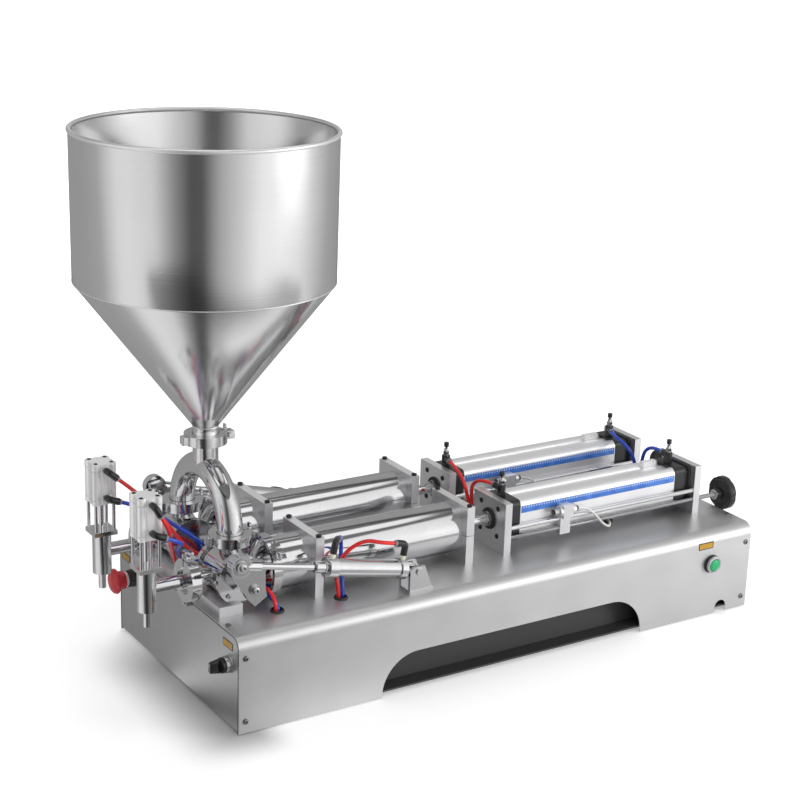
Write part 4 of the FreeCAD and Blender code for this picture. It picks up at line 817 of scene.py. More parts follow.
    def _lamps(self) -> None:
        """Hang the soft boxes, each turned towards the machine."""
        for name, place, size, power in self.boxes:
            data = bpy.data.lights.new(name, "AREA")
            data.size = size
            data.energy = power
            lamp = put_up(name, data)
            lamp.location = Vector(place) * MM
            lamp.rotation_mode = "QUATERNION"
            lamp.rotation_quaternion = (Vector(self.lamps_aim) * MM - lamp.location).to_track_quat("-Z", "Y")


@dataclass
class Line:
    """One hose: its node, finish, length and route in metres, and the body that it rides on.

    Its curve starts at the fitting and ends under the grommet.
    """

    node: str
    finish: str
    length: float
    route: tuple[tuple[float, float, float], ...]
    body: str = "machine"


@dataclass
class AirLines:
    """The air hoses and sensor wires, each a NURBS curve with its route as control points.

    The routes and the wires' steps are in metres, the diameters in millimetres.
    """

    hose_diameter: float = 6.0
    wire_diameter: float = 4.0
    hoses: tuple[Line, ...] = (
        Line("fill_hose_near", "hose_red", 0.160, (
            (0.047909, -0.05961, 0.2445), (0.045192, -0.033752, 0.2445), (0.043, -0.009, 0.231),
            (0.046, -0.0034, 0.204), (0.051, -0.0034, 0.176), (0.052, -0.0034, 0.15),
            (0.052, -0.0034, 0.124))),
        Line("fill_hose_far", "hose_red", 0.159, (
            (0.045162, 0.060094, 0.2445), (0.039114, 0.035837, 0.2445), (0.04, 0.011, 0.229),
            (0.044, 0.0038, 0.203), (0.05, 0.0034, 0.176), (0.052, 0.0034, 0.15), (0.052, 0.0034, 0.124))),
        Line("return_hose_near", "hose_blue", 0.159, (
            (0.396783, -0.059695, 0.2445), (0.400263, -0.034938, 0.2445), (0.401, -0.011, 0.232),
            (0.402, -0.0036, 0.206), (0.398, -0.0034, 0.178), (0.395, -0.0034, 0.151),
            (0.395, -0.0034, 0.124))),
        Line("return_hose_far", "hose_blue", 0.164, (
            (0.385233, 0.061524, 0.2445), (0.374712, 0.039953, 0.2445), (0.383, 0.014, 0.233),
            (0.394, 0.0045, 0.208), (0.396, 0.0034, 0.18), (0.395, 0.0034, 0.152), (0.395, 0.0034, 0.124))),
        Line("nozzle_open_hose_near", "hose_red", 0.399, (
            (-0.553, -0.1105, 0.312679), (-0.541, -0.1105, 0.291895), (-0.531, -0.088, 0.267),
            (-0.518, -0.067, 0.243), (-0.5, -0.04, 0.2103), (-0.484, -0.031, 0.194),
            (-0.456, -0.024, 0.179), (-0.426, -0.021, 0.171), (-0.404, -0.036, 0.164),
            (-0.399, -0.062, 0.161), (-0.397, -0.084, 0.166), (-0.394, -0.103, 0.175),
            (-0.391, -0.124, 0.178), (-0.3892, -0.141, 0.166), (-0.389, -0.144, 0.149),
            (-0.3894, -0.1415, 0.128))),
        Line("nozzle_shut_hose_near", "hose_blue", 0.372, (
            (-0.544729, -0.1105, 0.279865), (-0.519607, -0.1105, 0.26868), (-0.516, -0.086, 0.254),
            (-0.508, -0.063, 0.2375), (-0.4956, -0.045, 0.2214), (-0.48, -0.029, 0.208),
            (-0.461, -0.018, 0.196), (-0.437, -0.011, 0.183), (-0.412, -0.017, 0.171),
            (-0.395, -0.037, 0.161), (-0.391, -0.068, 0.1585), (-0.389, -0.098, 0.162),
            (-0.3865, -0.126, 0.165), (-0.3826, -0.1425, 0.151), (-0.3826, -0.142, 0.131))),
        Line("nozzle_open_hose_far", "hose_red", 0.253, (
            (-0.547906, 0.0485, 0.316879), (-0.529793, 0.0485, 0.301133), (-0.504, 0.026, 0.275),
            (-0.482, 0.008, 0.24), (-0.463, -0.001, 0.211), (-0.437, -0.0034, 0.193),
            (-0.413, -0.0034, 0.18), (-0.398, -0.0034, 0.158), (-0.398, -0.0034, 0.136))),
        Line("nozzle_shut_hose_far", "hose_blue", 0.244, (
            (-0.544328, 0.0485, 0.280833), (-0.521922, 0.0485, 0.272232), (-0.494, 0.026, 0.259),
            (-0.466, 0.009, 0.237), (-0.437, 0.0034, 0.214), (-0.411, 0.0034, 0.191),
            (-0.399, 0.0034, 0.166), (-0.398, 0.0034, 0.144), (-0.398, 0.0034, 0.122))),
        Line("valve_open_hose_near", "hose_blue", 0.132, (
            (-0.291334, -0.150986, 0.247232), (-0.279051, -0.136723, 0.244647), (-0.2721, -0.1273, 0.2302),
            (-0.2733, -0.1291, 0.208), (-0.2755, -0.1365, 0.183), (-0.2776, -0.144, 0.16),
            (-0.2776, -0.145, 0.136)), "valve_cylinder_near"),
        Line("valve_shut_hose_near", "hose_red", 0.167, (
            (-0.202982, -0.166, 0.228638), (-0.22451, -0.166, 0.233169), (-0.246, -0.156, 0.2385),
            (-0.268, -0.147, 0.227), (-0.283, -0.141, 0.207), (-0.288, -0.139, 0.186),
            (-0.285, -0.1445, 0.165), (-0.2844, -0.145, 0.138)), "valve_cylinder_near"),
    )
    wire_x: float = 0.167
    wire_steps: tuple[tuple[float, float, float], ...] = (
        (0.0, -0.0045, 0.204), (0.016, -0.0045, 0.204), (0.034, -0.01, 0.193), (0.051, -0.011, 0.173),
        (0.07, -0.007, 0.1595), (0.089, 0.011, 0.156), (0.101, 0.036, 0.156), (0.101, 0.036, 0.126),
    )
    wire_length: float = 0.164

    def build(self, shop: Workshop) -> None:
        """Lay every hose and both wires.

        Args:
            shop: Where the pieces go.
        """
        for line in self.hoses:
            self._lay_hose(shop, line)
        for side, sign in SIDES.items():
            self._lay_wire(shop, side, (HEAD_Y * sign - GUIDE_Y) * MM)

    def _curve(self, name: str, route: Sequence[Sequence[float]], radius: float) -> Any:
        """Make an open NURBS curve.

        Args:
            name: The curve's name.
            route: Its control points, in metres.
            radius: The tube's radius, or 0 for a bare line.

        Returns:
            The new object.
        """
        data = bpy.data.curves.new(name, "CURVE")
        data.dimensions = "3D"
        data.resolution_u = 14
        spline = data.splines.new("NURBS")
        spline.points.add(len(route) - 1)
        spline.points.foreach_set("co", np.column_stack([np.array(route), np.ones(len(route))]).ravel())
        spline.order_u = 3
        spline.use_endpoint_u = True
        if radius:
            data.bevel_depth = radius
            data.bevel_resolution = 5
            data.use_fill_caps = True
        return put_up(name, data)

    def _lay_hose(self, shop: Workshop, line: Line) -> None:
        """Lay one hose from its elbow to its grommet.

        Args:
            shop: Where the finishes are kept.
            line: The hose.
        """
        hose = self._curve(line.node + "_tube", line.route, self.hose_diameter / 2 * MM)
        hose.data.materials.append(shop.finishes[line.finish])
        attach(hose, line.body)
        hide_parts(line.node)

    def _lay_wire(self, shop: Workshop, side: str, middle: float) -> None:
        """Lay one sensor wire as a tube that follows its sensor and stays in its grommet.

        Args:
            Lay one sensor wire as a tube from its sensor to its grommet.
            side: The side of the machine.
            middle: The guide rod's place across, in metres.
        """
        route = [(self.wire_x + x, middle + y, z) for x, y, z in self.wire_steps]
        guide = self._curve("guide", route, 0.0)
        bpy.context.view_layer.update()
        line = bpy.data.meshes.new_from_object(guide.evaluated_get(bpy.context.evaluated_depsgraph_get()))
        path = np.empty(len(line.vertices) * 3)
        line.vertices.foreach_get("co", path)
        path = path.reshape(-1, 3)
        bpy.data.objects.remove(guide)
        node = "sensor_wire_" + side
        shape = tube(path / MM, self.wire_diameter / 2, 14, (1, -1, 1))
        wire = put_up(node + "_tube", make_mesh(node + "_tube", [shape], shop.finishes["wire_white"]))
        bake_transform(wire)
        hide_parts(node)


def both(*stems: str) -> tuple[str, ...]:
    """Return the near and far names of nodes that the machine has twice."""
    return tuple(f"{stem}_{side}" for stem in stems for side in SIDES)


def outward(side: int) -> Axis:
    """Return the way out of the machine's near or far side."""
    return Axis.Y if side > 0 else Axis.BACK_Y


DRESSED: dict[str, tuple[str, ...]] = {
    "case_sheet_along_x": ("housing_shell",),
    "case_sheet_along_y": ("end_plate_head", "end_plate_drive"),
    # Painted shade: the tray seen through the front cut-out is dark grey to stand in for the shade inside.
    "recess_painted_shade": ("base_tray",),
    "black_rubber": ("rubber_feet", "grommets"),
    "ground_aluminium": ("valve_bar", "solenoid_valve_bank", "saddle_bases", "saddle_caps", "air_plates",
                         *both("sensor_carriage")),
    "polished_steel": ("pivot_brackets", "air_inlet", "metering_tubes"),
    "cast_polished_steel": ("inlet_manifold", "valve_bodies", "tube_clamps", "nozzle_bodies",
                            *both("valve_lever")),
    "chromed_rod": ("guide_rods", *both("piston", "nozzle_spindle", "valve_rod")),
    "profile_aluminium": ("air_barrels",),
    "block_aluminium": ("reed_sensors",),
    "dark_cap_alloy": ("air_caps", *both("fill_speed_knob", "return_speed_knob")),
}


@dataclass
class Case:
    """The bare name plates, and the dark seams where the end sheets meet the case."""

    plates: tuple[tuple[str, tuple[float, float, float], Axis, float], ...] = (
        ("start", (381.5, -CASE_Y, 127.0), Axis.BACK_Y, 15.5),
        ("selector", (-CASE_X, -170.0, 129.0), Axis.BACK_X, 15.0),
        ("stop", (-CASE_X, 180.0, 133.0), Axis.BACK_X, 15.0),
    )
    plate_half_height: float = 6.0
    plate_thickness: float = 0.5
    border: float = 1.5
    film_lift: float = 0.12
    seam_x: float = 480.05
    seam_radius: float = 0.6
    seam_foot: float = 2.0
    seam_bend: float = 15.8
    seam_middle: tuple[float, float] = (-186.0, 131.0)

    def build(self, shop: Workshop) -> None:
        """Lay a seam up, across and down each end, and put a film and its border at each plate.

        Args:
            shop: Where the pieces go.
        """
        arc = circle(np.radians(np.linspace(180, 90, 9))) * self.seam_bend + self.seam_middle
        half = np.vstack([[[arc[0, 0], self.seam_foot]], arc])
        across = np.vstack([half, half[::-1] * [-1, 1]])
        seams = [tube(np.column_stack([np.full(len(across), x), across]), self.seam_radius, 8, (1, 0, 0))
                 for x in (-self.seam_x, self.seam_x)]
        shop.add("case_end_seams", seams, "black_rubber")
        high = self.plate_half_height
        for use, spot, axis, wide in self.plates:
            border = bar(rounded_outline(wide, high, 1.2), self.plate_thickness, 0.1)
            outline = rounded_outline(wide - self.border, high - self.border, 0.8)
            film = bar(outline, self.plate_thickness + self.film_lift, 0.05)
            shop.add("name_plate_border_" + use, [border.placed(spot, axis)], "black_plastic")
            shop.add("name_plate_" + use, [film.placed(spot, axis)], "amber_film", "black_plastic")


@dataclass
class Screws:
    """The screws of the valve covers, the saddles and the case."""

    side_x: float = 469.0
    side_z: tuple[float, float] = (20.0, 118.0)
    top: tuple[float, float] = (471.0, 153.0)
    saddle_x: tuple[float, float] = (-309.0, -41.5)
    saddle_y: float = 45.15
    saddle_z: float = 244.0
    cover_y: float = 117.0
    cover_ring: float = 21.5

    def build(self, shop: Workshop) -> None:
        """Stand every screw in its hole.

        Args:
            shop: Where the pieces go.
        """
        cover = screw_head(3.5, 3.0, 1.5)
        cap = screw_head(4.25, 3.2, 2.0)
        button = screw_head(4.5, 2.5, 1.9, 1.3)
        ring, y = self.cover_ring, self.cover_y
        covers = [cover.placed((VALVE_X + ring * along, y * side, AXIS_Z + ring * up), outward(side))
                  for side in SIDES.values() for along, up in CORNERS]
        saddles = [cap.placed((x, HEAD_Y * side + self.saddle_y * hand, self.saddle_z))
                   for side, hand in CORNERS for x in self.saddle_x]
        case = [button.placed((self.side_x * end, CASE_Y * side, z), outward(side))
                for end, side in CORNERS for z in self.side_z]
        case += [button.placed((self.top[0] * end, self.top[1] * side, CASE_Z)) for end, side in CORNERS]
        shop.add("screw_heads", covers, "bright_screw", "screw_steel", replaces=["screws"])
        shop.add("saddle_screw_heads", saddles, "dark_cap_alloy", "screw_steel")
        shop.add("case_screw_heads", case, "dull_screw", "screw_steel")


@dataclass
class Hopper:
    """The spun hopper with its rolled rim, welds, ferrule and neck."""

    radius: float = 187.5
    sheet: float = 1.5
    rim_z: float = 833.0
    bead_radius: float = 3.2
    rim_skin: float = 3.35
    weld_z: float = 617.0
    weld_width: float = 1.6
    neck_z: float = 398.0
    neck_radius: float = 19.0
    neck_bore: float = 17.5
    joint_z: float = 379.0
    ferrule_radius: float = 25.25
    ferrule_thickness: float = 2.8
    seam_angle: float = 64.0
    seam_steps: int = 24

    def profile(self) -> list[Sequence[float]]:
        """Follow the wall: neck, cone and drum outside, rolled rim, then back inside.

        Returns:
            The profile's rows of radius and height.
        """
        middle = self.rim_z - self.bead_radius
        rim = circle(np.radians(np.linspace(-70, 250, 20))) * self.bead_radius + (self.radius, middle)
        inner, bore, neck = self.radius - self.sheet, self.neck_bore, self.neck_radius
        joint, ferrule = self.joint_z, self.ferrule_radius
        outside = [
            (bore, joint), (ferrule, joint), (ferrule, joint + 1.2),
            (neck + 1, joint + self.ferrule_thickness), (neck, joint + 4), (neck, self.neck_z - 3),
            (neck + 0.8, self.neck_z + 1),
            (neck + 4, self.neck_z + 5.2), (self.radius - 1.6, self.weld_z - 2.0),
            (self.radius, self.weld_z + 1.5),
        ]
        inside = [(inner, middle - 4), (inner, self.weld_z + 1), (inner - 2, self.weld_z - 2.6),
                  (bore + 3, self.neck_z + 4), (bore, self.neck_z - 1)]
        return [*outside, *rim, *inside]

    def build(self, shop: Workshop) -> None:
        """Turn the wall and the rim about the hopper's axis and lay the weld beads.

        Args:
            shop: Where the pieces go.
        """
        ring = circle(around(20)) * self.rim_skin + (self.radius, self.rim_z - self.bead_radius)
        seam = np.empty((self.seam_steps, 3))
        seam[:, :2] = circle(np.radians([self.seam_angle])) * self.radius
        seam[:, 2] = np.linspace(self.weld_z + 4, self.rim_z - 8, self.seam_steps)
        wall = lathe(self.profile(), 160, closed=True)
        rim = lathe(ring, 160, closed=True)
        beads = [bead(self.radius - 0.4, self.weld_width, self.weld_z, 120),
                 bead(self.neck_radius + 0.3, self.weld_width, self.neck_z - 0.5),
                 tube(seam, self.weld_width / 2, 8, (1, 0, 0))]
        axis = (VALVE_X, 0, 0)
        shop.add("hopper_wall", [wall.placed(axis)], "hopper_sheet", "polished", "machine", ["hopper"], 40.0)
        shop.add("hopper_rim", [rim.placed(axis)], "rim_sheet", "polished")
        shop.add("hopper_welds", [piece.placed(axis) for piece in beads], "weld_bead", "polished")


@dataclass
class Manifold:
    """The weld beads of the arch between the hopper and both valves."""

    weld_radius: float = 19.2
    leg_z: float = 254.8
    top_z: float = 374.0

    def build(self, shop: Workshop) -> None:
        """Lay a bead on each leg and one under the hopper's clamp.

        Args:
            shop: Where the pieces go.
        """
        spots = [(HEAD_Y * side, self.leg_z) for side in SIDES.values()] + [(0.0, self.top_z)]
        welds = [bead(self.weld_radius, 1.4, z).placed((VALVE_X, y, 0)) for y, z in spots]
        shop.add("manifold_welds", welds, "weld_bead", "polished")


@dataclass
class NozzleHeads:
    """The drip-free nozzles' air cylinders: profile blocks with round corner posts."""

    half: float = 19.0
    set_in: float = 1.6
    post: float = 6.6
    groove_angle: float = 20.0
    groove_depth: float = 2.6
    groove_spread: float = 2.6
    layers: tuple[tuple[float, float, float, float], ...] = (
        (275.0, 8.0, 1.0, 0.7), (283.3, 44.4, 0.985, 0.3), (328.0, 11.0, 1.0, 0.7))
    screw_spacing: float = 12.4
    screw_z: float = 338.9

    def outline(self) -> np.ndarray:
        """Return the profile: at each angle the farther of four corner circles and a set-in square.

        Grooves are bell curves of the angle, cut to both sides of each face's middle.

        Returns:
            The outline's points.
        """
        angle = around(144)
        way = circle(angle)
        square = (self.half - self.set_in) / np.abs(way).max(axis=1)
        centre = (self.half - self.post) * np.sign(way)
        along = (way * centre).sum(axis=1)
        aside = way[:, 0] * centre[:, 1] - way[:, 1] * centre[:, 0]
        room = self.post ** 2 - aside ** 2
        posts = np.where(room > 0, along + np.sqrt(np.maximum(room, 0)), 0)
        folded = np.abs(np.mod(np.degrees(angle) + 45, 90) - 45)
        groove = self.groove_depth * np.exp(-((folded - self.groove_angle) / self.groove_spread) ** 2)
        return way * (np.maximum(square, posts) - groove)[:, None]

    def build(self, shop: Workshop) -> None:
        """Stand the blocks on their posts, with the cap lines and corner screws.

        Args:
            shop: Where the pieces go.
        """
        profile = self.outline()
        cap = screw_head(3.1, 0.9, 1.6)
        gap = self.screw_spacing
        blocks: list[Patch] = []
        screws: list[Patch] = []
        for side in SIDES.values():
            y = HEAD_Y * side
            blocks += [bar(profile * scale, length, chamfer).placed((NOZZLE_X, y, z))
                       for z, length, scale, chamfer in self.layers]
            screws += [cap.placed((NOZZLE_X + gap * i, y + gap * j, self.screw_z)) for i, j in CORNERS]
        shop.add("nozzle_cylinder_blocks", blocks, "block_aluminium", "aluminium",
                 replaces=["nozzle_actuators"])
        shop.add("nozzle_cylinder_screws", screws, "dark_cap_alloy", "screw_steel")


@dataclass(frozen=True)
class Elbow:
    """A push-in elbow whose stem stands on Z = 0 and whose arm points along X.

    The thread's length is a share of the stem, and the other radii are shares of the first.
    """

    stem: float
    arm: float
    radius: float = 5.4
    bend: float = 6.0
    thread: float = 0.25
    thread_radius: float = 0.8
    stem_radius: float = 0.94
    collar: float = 4.0
    collar_radii: tuple[float, float, float] = (0.87, 0.87, 0.73)

    def parts(self) -> tuple[Patch, Patch, Patch]:
        """Carry circles up the stem, round a quarter turn (r (1 - cos a), r sin a) and along the arm.

        Returns:
            The body, the release collar and the threaded sleeve.
        """
        out, up, aside = np.eye(3)[[0, 2, 1]]
        turn = np.linspace(0, np.pi / 2, 8)[:, None]
        bend = up * (self.stem - self.bend) + self.bend * (up * np.sin(turn) + out * (1 - np.cos(turn)))
        start = np.array([up * self.stem * self.thread, up * (self.stem - self.bend - 1)])
        path = np.vstack([start, bend, up * self.stem + out * (self.arm - self.collar)])
        sizes = np.concatenate([np.full(10, self.radius * self.stem_radius), [self.radius]])
        tip = up * self.stem + out * self.arm
        ends = np.vstack([tip - out * (self.collar + 0.2), tip - out * 1.0, tip])
        collar = tube(ends, self.radius * np.array(self.collar_radii), 24, aside)
        ends = np.vstack([up * -0.5, up * (self.stem * self.thread + 0.2)])
        sleeve = tube(ends, self.radius * self.thread_radius, 24, aside)
        return tube(path, sizes, 24, aside), collar, sleeve

    def turned(self, spot: Sequence[float], out: Sequence[float], up: Sequence[float]) -> tuple[Patch, ...]:
        """Put the parts at a spot.

        Args:
            spot: Where the stem stands.
            out: The way that the arm points.
            up: The way that the stem points.

        Returns:
            The placed parts.
        """
        arm = np.array(out, float) / np.linalg.norm(out)
        ways = np.array([arm, np.cross(up, arm), up], float)
        return tuple(part.placed(spot, ways) for part in self.parts())


def add_fittings(shop: Workshop, name: str, fittings: Sequence[Sequence[Patch]], body: str,
                 replaces: Sequence[str] = (), sleeve: str = "pale_sleeve") -> None:
    """Add fittings as three pieces: bodies, collars and sleeves.

    Args:
        shop: Where the pieces go.
        name: The start of their names.
        fittings: The parts of every fitting, each a body, a collar and a sleeve.
        body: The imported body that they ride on.
        replaces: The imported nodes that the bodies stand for.
        sleeve: The sleeves' finish.
    """
    bodies, collars, sleeves = zip(*fittings)
    shop.add(name + "_bodies", bodies, "black_plastic", body=body, replaces=replaces)
    shop.add(name + "_collars", collars, "grey_collar", "black_plastic", body)
    shop.add(name + "_sleeves", sleeves, sleeve, "aluminium", body)


@dataclass
class ValveDrives:
    """The small round air cylinders that turn the valves, with their rods' eyes and elbows."""

    pivot: tuple[float, float] = (-166.0, 181.0)
    pivot_y: float = 166.0
    arm: float = 54.0
    lever_angles: dict[str, float] = field(default_factory=lambda: {"near": 122.0, "far": 97.0})
    eye_face: float = 172.5
    spindle_end: float = 158.0
    washer_thickness: float = 1.5
    rear_port: float = 26.0
    front_port: float = 149.5
    port_radius: float = 15.0
    body_profile: Rows = (
        (0, 19.9), (15, 19.9), (16, 20.8), (16, 31.2), (15.2, 32), (13.5, 32.2), (13.5, 140.8), (15.2, 141),
        (16, 141.8), (16, 157.2), (15.2, 158), (9.6, 158.2), (9.6, 160), (8.8, 160.4), (8.8, 176.4),
        (7.8, 178), (5.6, 178), (5.6, 172), (0, 172),
    )
    eye_profile: Rows = ((4.05, -6), (7.4, -6), (8, -5.4), (8, 5.4), (7.4, 6), (4.05, 6))
    race_profile: Rows = ((9.6, -0.2), (13.2, -0.2), (13.6, 0.3), (13.0, 1.0), (10.0, 1.0), (9.6, 0.6))
    washer_profile: Rows = ((0, -0.2), (8.2, -0.2), (8.6, 0.3), (8.6, 1.2), (8.1, 1.6), (0, 1.6))

    def pin(self, side: str) -> tuple[float, float]:
        """Return the X and Z of the pin at the lever's end."""
        angle = math.radians(self.lever_angles[side])
        return VALVE_X + self.arm * math.cos(angle), AXIS_Z + self.arm * math.sin(angle)

    def build(self, shop: Workshop) -> None:
        """Turn the cylinders and bend their elbows along the way from the pivot to the pin.

        Args:
            shop: Where the pieces go.
        """
        for side, sign in SIDES.items():
            to_pin = np.array(self.pin(side)) - self.pivot
            to_pin /= np.linalg.norm(to_pin)
            forth, across, up = np.array([[to_pin[0], 0, to_pin[1]], [0, -1, 0], [to_pin[1], 0, -to_pin[0]]])
            origin = np.array([self.pivot[0], self.pivot_y * sign, self.pivot[1]])
            turned = np.array([across, up, forth])
            body = "valve_cylinder_" + side
            eye = lathe(self.eye_profile, 32, closed=True).placed(origin, np.array([forth, -up, across]))
            tongue = bar(rounded_outline(6.0, 8.0, 1.5), 15.0, 0.2).placed(origin + forth * 5.5, turned)
            barrel = lathe(self.body_profile, 48).placed(origin, turned)
            shop.add("valve_cylinder_barrel_" + side, [barrel, eye, tongue], "polished_steel", "aluminium",
                     body, [body], 28.0)
            port = up if sign < 0 else -across
            front = -0.66 * forth - 0.75 * across if sign < 0 else -forth
            elbow = Elbow(24.0, 20.0)
            fittings = [elbow.turned(origin + forth * along + port * self.port_radius, way, port)
                        for along, way in ((self.front_port, front), (self.rear_port, forth))]
            add_fittings(shop, "valve_elbow_" + side, fittings, body)
            self._screws(shop, side, sign)

    def _screws(self, shop: Workshop, side: str, sign: int) -> None:
        """Put the race and screw on the rod eye and the screw on the lever's spindle.

        Args:
            shop: Where the pieces go.
            side: The side of the machine.
            sign: Which way out that side is.
        """
        race = lathe(self.race_profile, 48, closed=True)
        washer = lathe(self.washer_profile, 40)
        head = screw_head(5.6, 4.6, 2.6, 0.6)
        head.points[:, 2] += self.washer_thickness
        x, z = self.pin(side)
        eye, spindle = (x, self.eye_face * sign, z), (VALVE_X, self.spindle_end * sign, AXIS_Z)
        for name, body, spot, patches in (("rod_eye_screw_", "valve_rod_", eye, (race, washer, head)),
                                          ("spindle_screw_", "valve_lever_", spindle, (washer, head))):
            shop.add(name + side, [patch.placed(spot, outward(sign)) for patch in patches], "bright_screw",
                     "screw_steel", body + side)


@dataclass
class AirCylinders:
    """The small forms of the two air cylinders, and the nozzles' elbows."""

    film_x: tuple[float, float] = (68.0, 382.0)
    film_z: tuple[float, float] = (209.0, 220.5)
    film_y: float = 32.1
    nozzle_face: float = 19.0
    nozzle_elbows: dict[tuple[str, float], float] = field(default_factory=lambda: {
        ("near", 330.0): 60.0, ("near", 288.0): 24.0, ("far", 330.0): 41.0, ("far", 288.0): 21.0})
    controllers: dict[tuple[str, float], float] = field(default_factory=lambda: {
        ("near", 50.0): 96.0, ("far", 50.0): -104.0, ("near", 394.0): 82.0, ("far", 394.0): -116.0})
    controller_z: float = 231.0
    arm_z: float = 244.5
    stem_profile: Rows = ((0, 0), (6.6, 0), (7, 0.6), (7, 7), (6.2, 7.6), (6.2, 9), (7, 9.6), (7, 18),
                          (6, 19.4), (0, 19.4))
    neck_profile: Rows = ((0, 19), (4, 19), (4.5, 19.6), (4.5, 21), (3.6, 21.4), (3.6, 30), (3.2, 31),
                          (0, 31))
    nut_profile: Rows = ((0, 22), (4.7, 22), (5.2, 22.6), (5.2, 25), (4.7, 25.6), (0, 25.6))
    gland_x: float = 29.2
    gland_nut_x: float = 25.0
    gland_outer: Rows = ((12.2, 0), (16.4, 0), (17, 0.6), (17, 3), (12.2, 3))
    gland_inner: Rows = ((8.4, 0), (11.4, 0), (12, 0.8), (12, 4), (8.4, 4))
    gland_nut: Rows = ((8.35, 0), (10.6, 0), (11.5, 0.8), (11.5, 6), (8.35, 6))
    plate_screw_x: float = 29.1
    plate_screw_spacing: float = 23.0

    def build(self, shop: Workshop) -> None:
        """Add the fittings and glands, and the blue films along the near faces.

        Args:
            shop: Where the pieces go.
        """
        self._fittings(shop)
        self._glands(shop)
        (start, end), (low, high) = self.film_x, self.film_z
        strip = bar(rounded_outline(0.25, (high - low) / 2, 0.2), end - start, 0.05)
        for side, sign in SIDES.items():
            film = strip.placed((start, HEAD_Y * sign - self.film_y, (low + high) / 2), Axis.X)
            shop.add("scale_film_" + side, [film], "blue_scale_film", "aluminium")

    def _fittings(self, shop: Workshop) -> None:
        """Bend the nozzles' elbows and turn the speed controllers on the air cylinders.

        Args:
            shop: Where the pieces go.
        """
        elbow = Elbow(12.0, 20.0)
        fittings = []
        for (side, z), angle in self.nozzle_elbows.items():
            way = (math.cos(math.radians(angle)), 0.0, -math.sin(math.radians(angle)))
            spot = (NOZZLE_X, HEAD_Y * SIDES[side] - self.nozzle_face, z)
            fittings.append(elbow.turned(spot, way, (0, -1, 0)))
        for (side, x), angle in self.controllers.items():
            y = HEAD_Y * SIDES[side]
            spot = np.array([x, y, self.arm_z])
            out = np.array([math.cos(math.radians(angle)), math.sin(math.radians(angle)), 0.0])
            arm = tube(spot + out * [[3], [15.8]], 5.5, 24, (0, 0, 1))
            collar = tube(spot + out * [[15.6], [19], [20]], np.array([4.9, 4.9, 4.2]), 24, (0, 0, 1))
            stem, neck, nut = (lathe(rows, sides).placed((x, y, self.controller_z)) for rows, sides in (
                (self.stem_profile, 32), (self.neck_profile, 24), (self.nut_profile, 6)))
            fittings += [(stem, collar, neck), (arm, nut, nut)]
        add_fittings(shop, "air_fitting", fittings, "machine", ["air_fittings"], "bright_screw")

    def _glands(self, shop: Workshop) -> None:
        """Put the rod glands, their nuts and the plate screws on the front plates.

        Args:
            shop: Where the pieces go.
        """
        outer, inner, nut = (lathe(rows, sides, closed=True) for rows, sides in (
            (self.gland_outer, 40), (self.gland_inner, 40), (self.gland_nut, 6)))
        screw = screw_head(4.2, 1.4, 2.0)
        rings: list[Patch] = []
        steel: list[Patch] = []
        screws: list[Patch] = []
        gap = self.plate_screw_spacing
        for sign in SIDES.values():
            y = HEAD_Y * sign
            rings.append(outer.placed((self.gland_x, y, AXIS_Z), Axis.BACK_X))
            steel.append(inner.placed((self.gland_x, y, AXIS_Z), Axis.BACK_X))
            steel.append(nut.placed((self.gland_nut_x, y, AXIS_Z), Axis.BACK_X))
            screws += [screw.placed((self.plate_screw_x, y + j * gap, AXIS_Z + k * gap), Axis.BACK_X)
                       for j, k in CORNERS]
        shop.add("rod_gland_rings", rings, "black_rubber")
        shop.add("rod_gland_nuts", steel, "bright_screw", "polished")
        shop.add("air_plate_screws", screws, "dark_cap_alloy", "screw_steel")


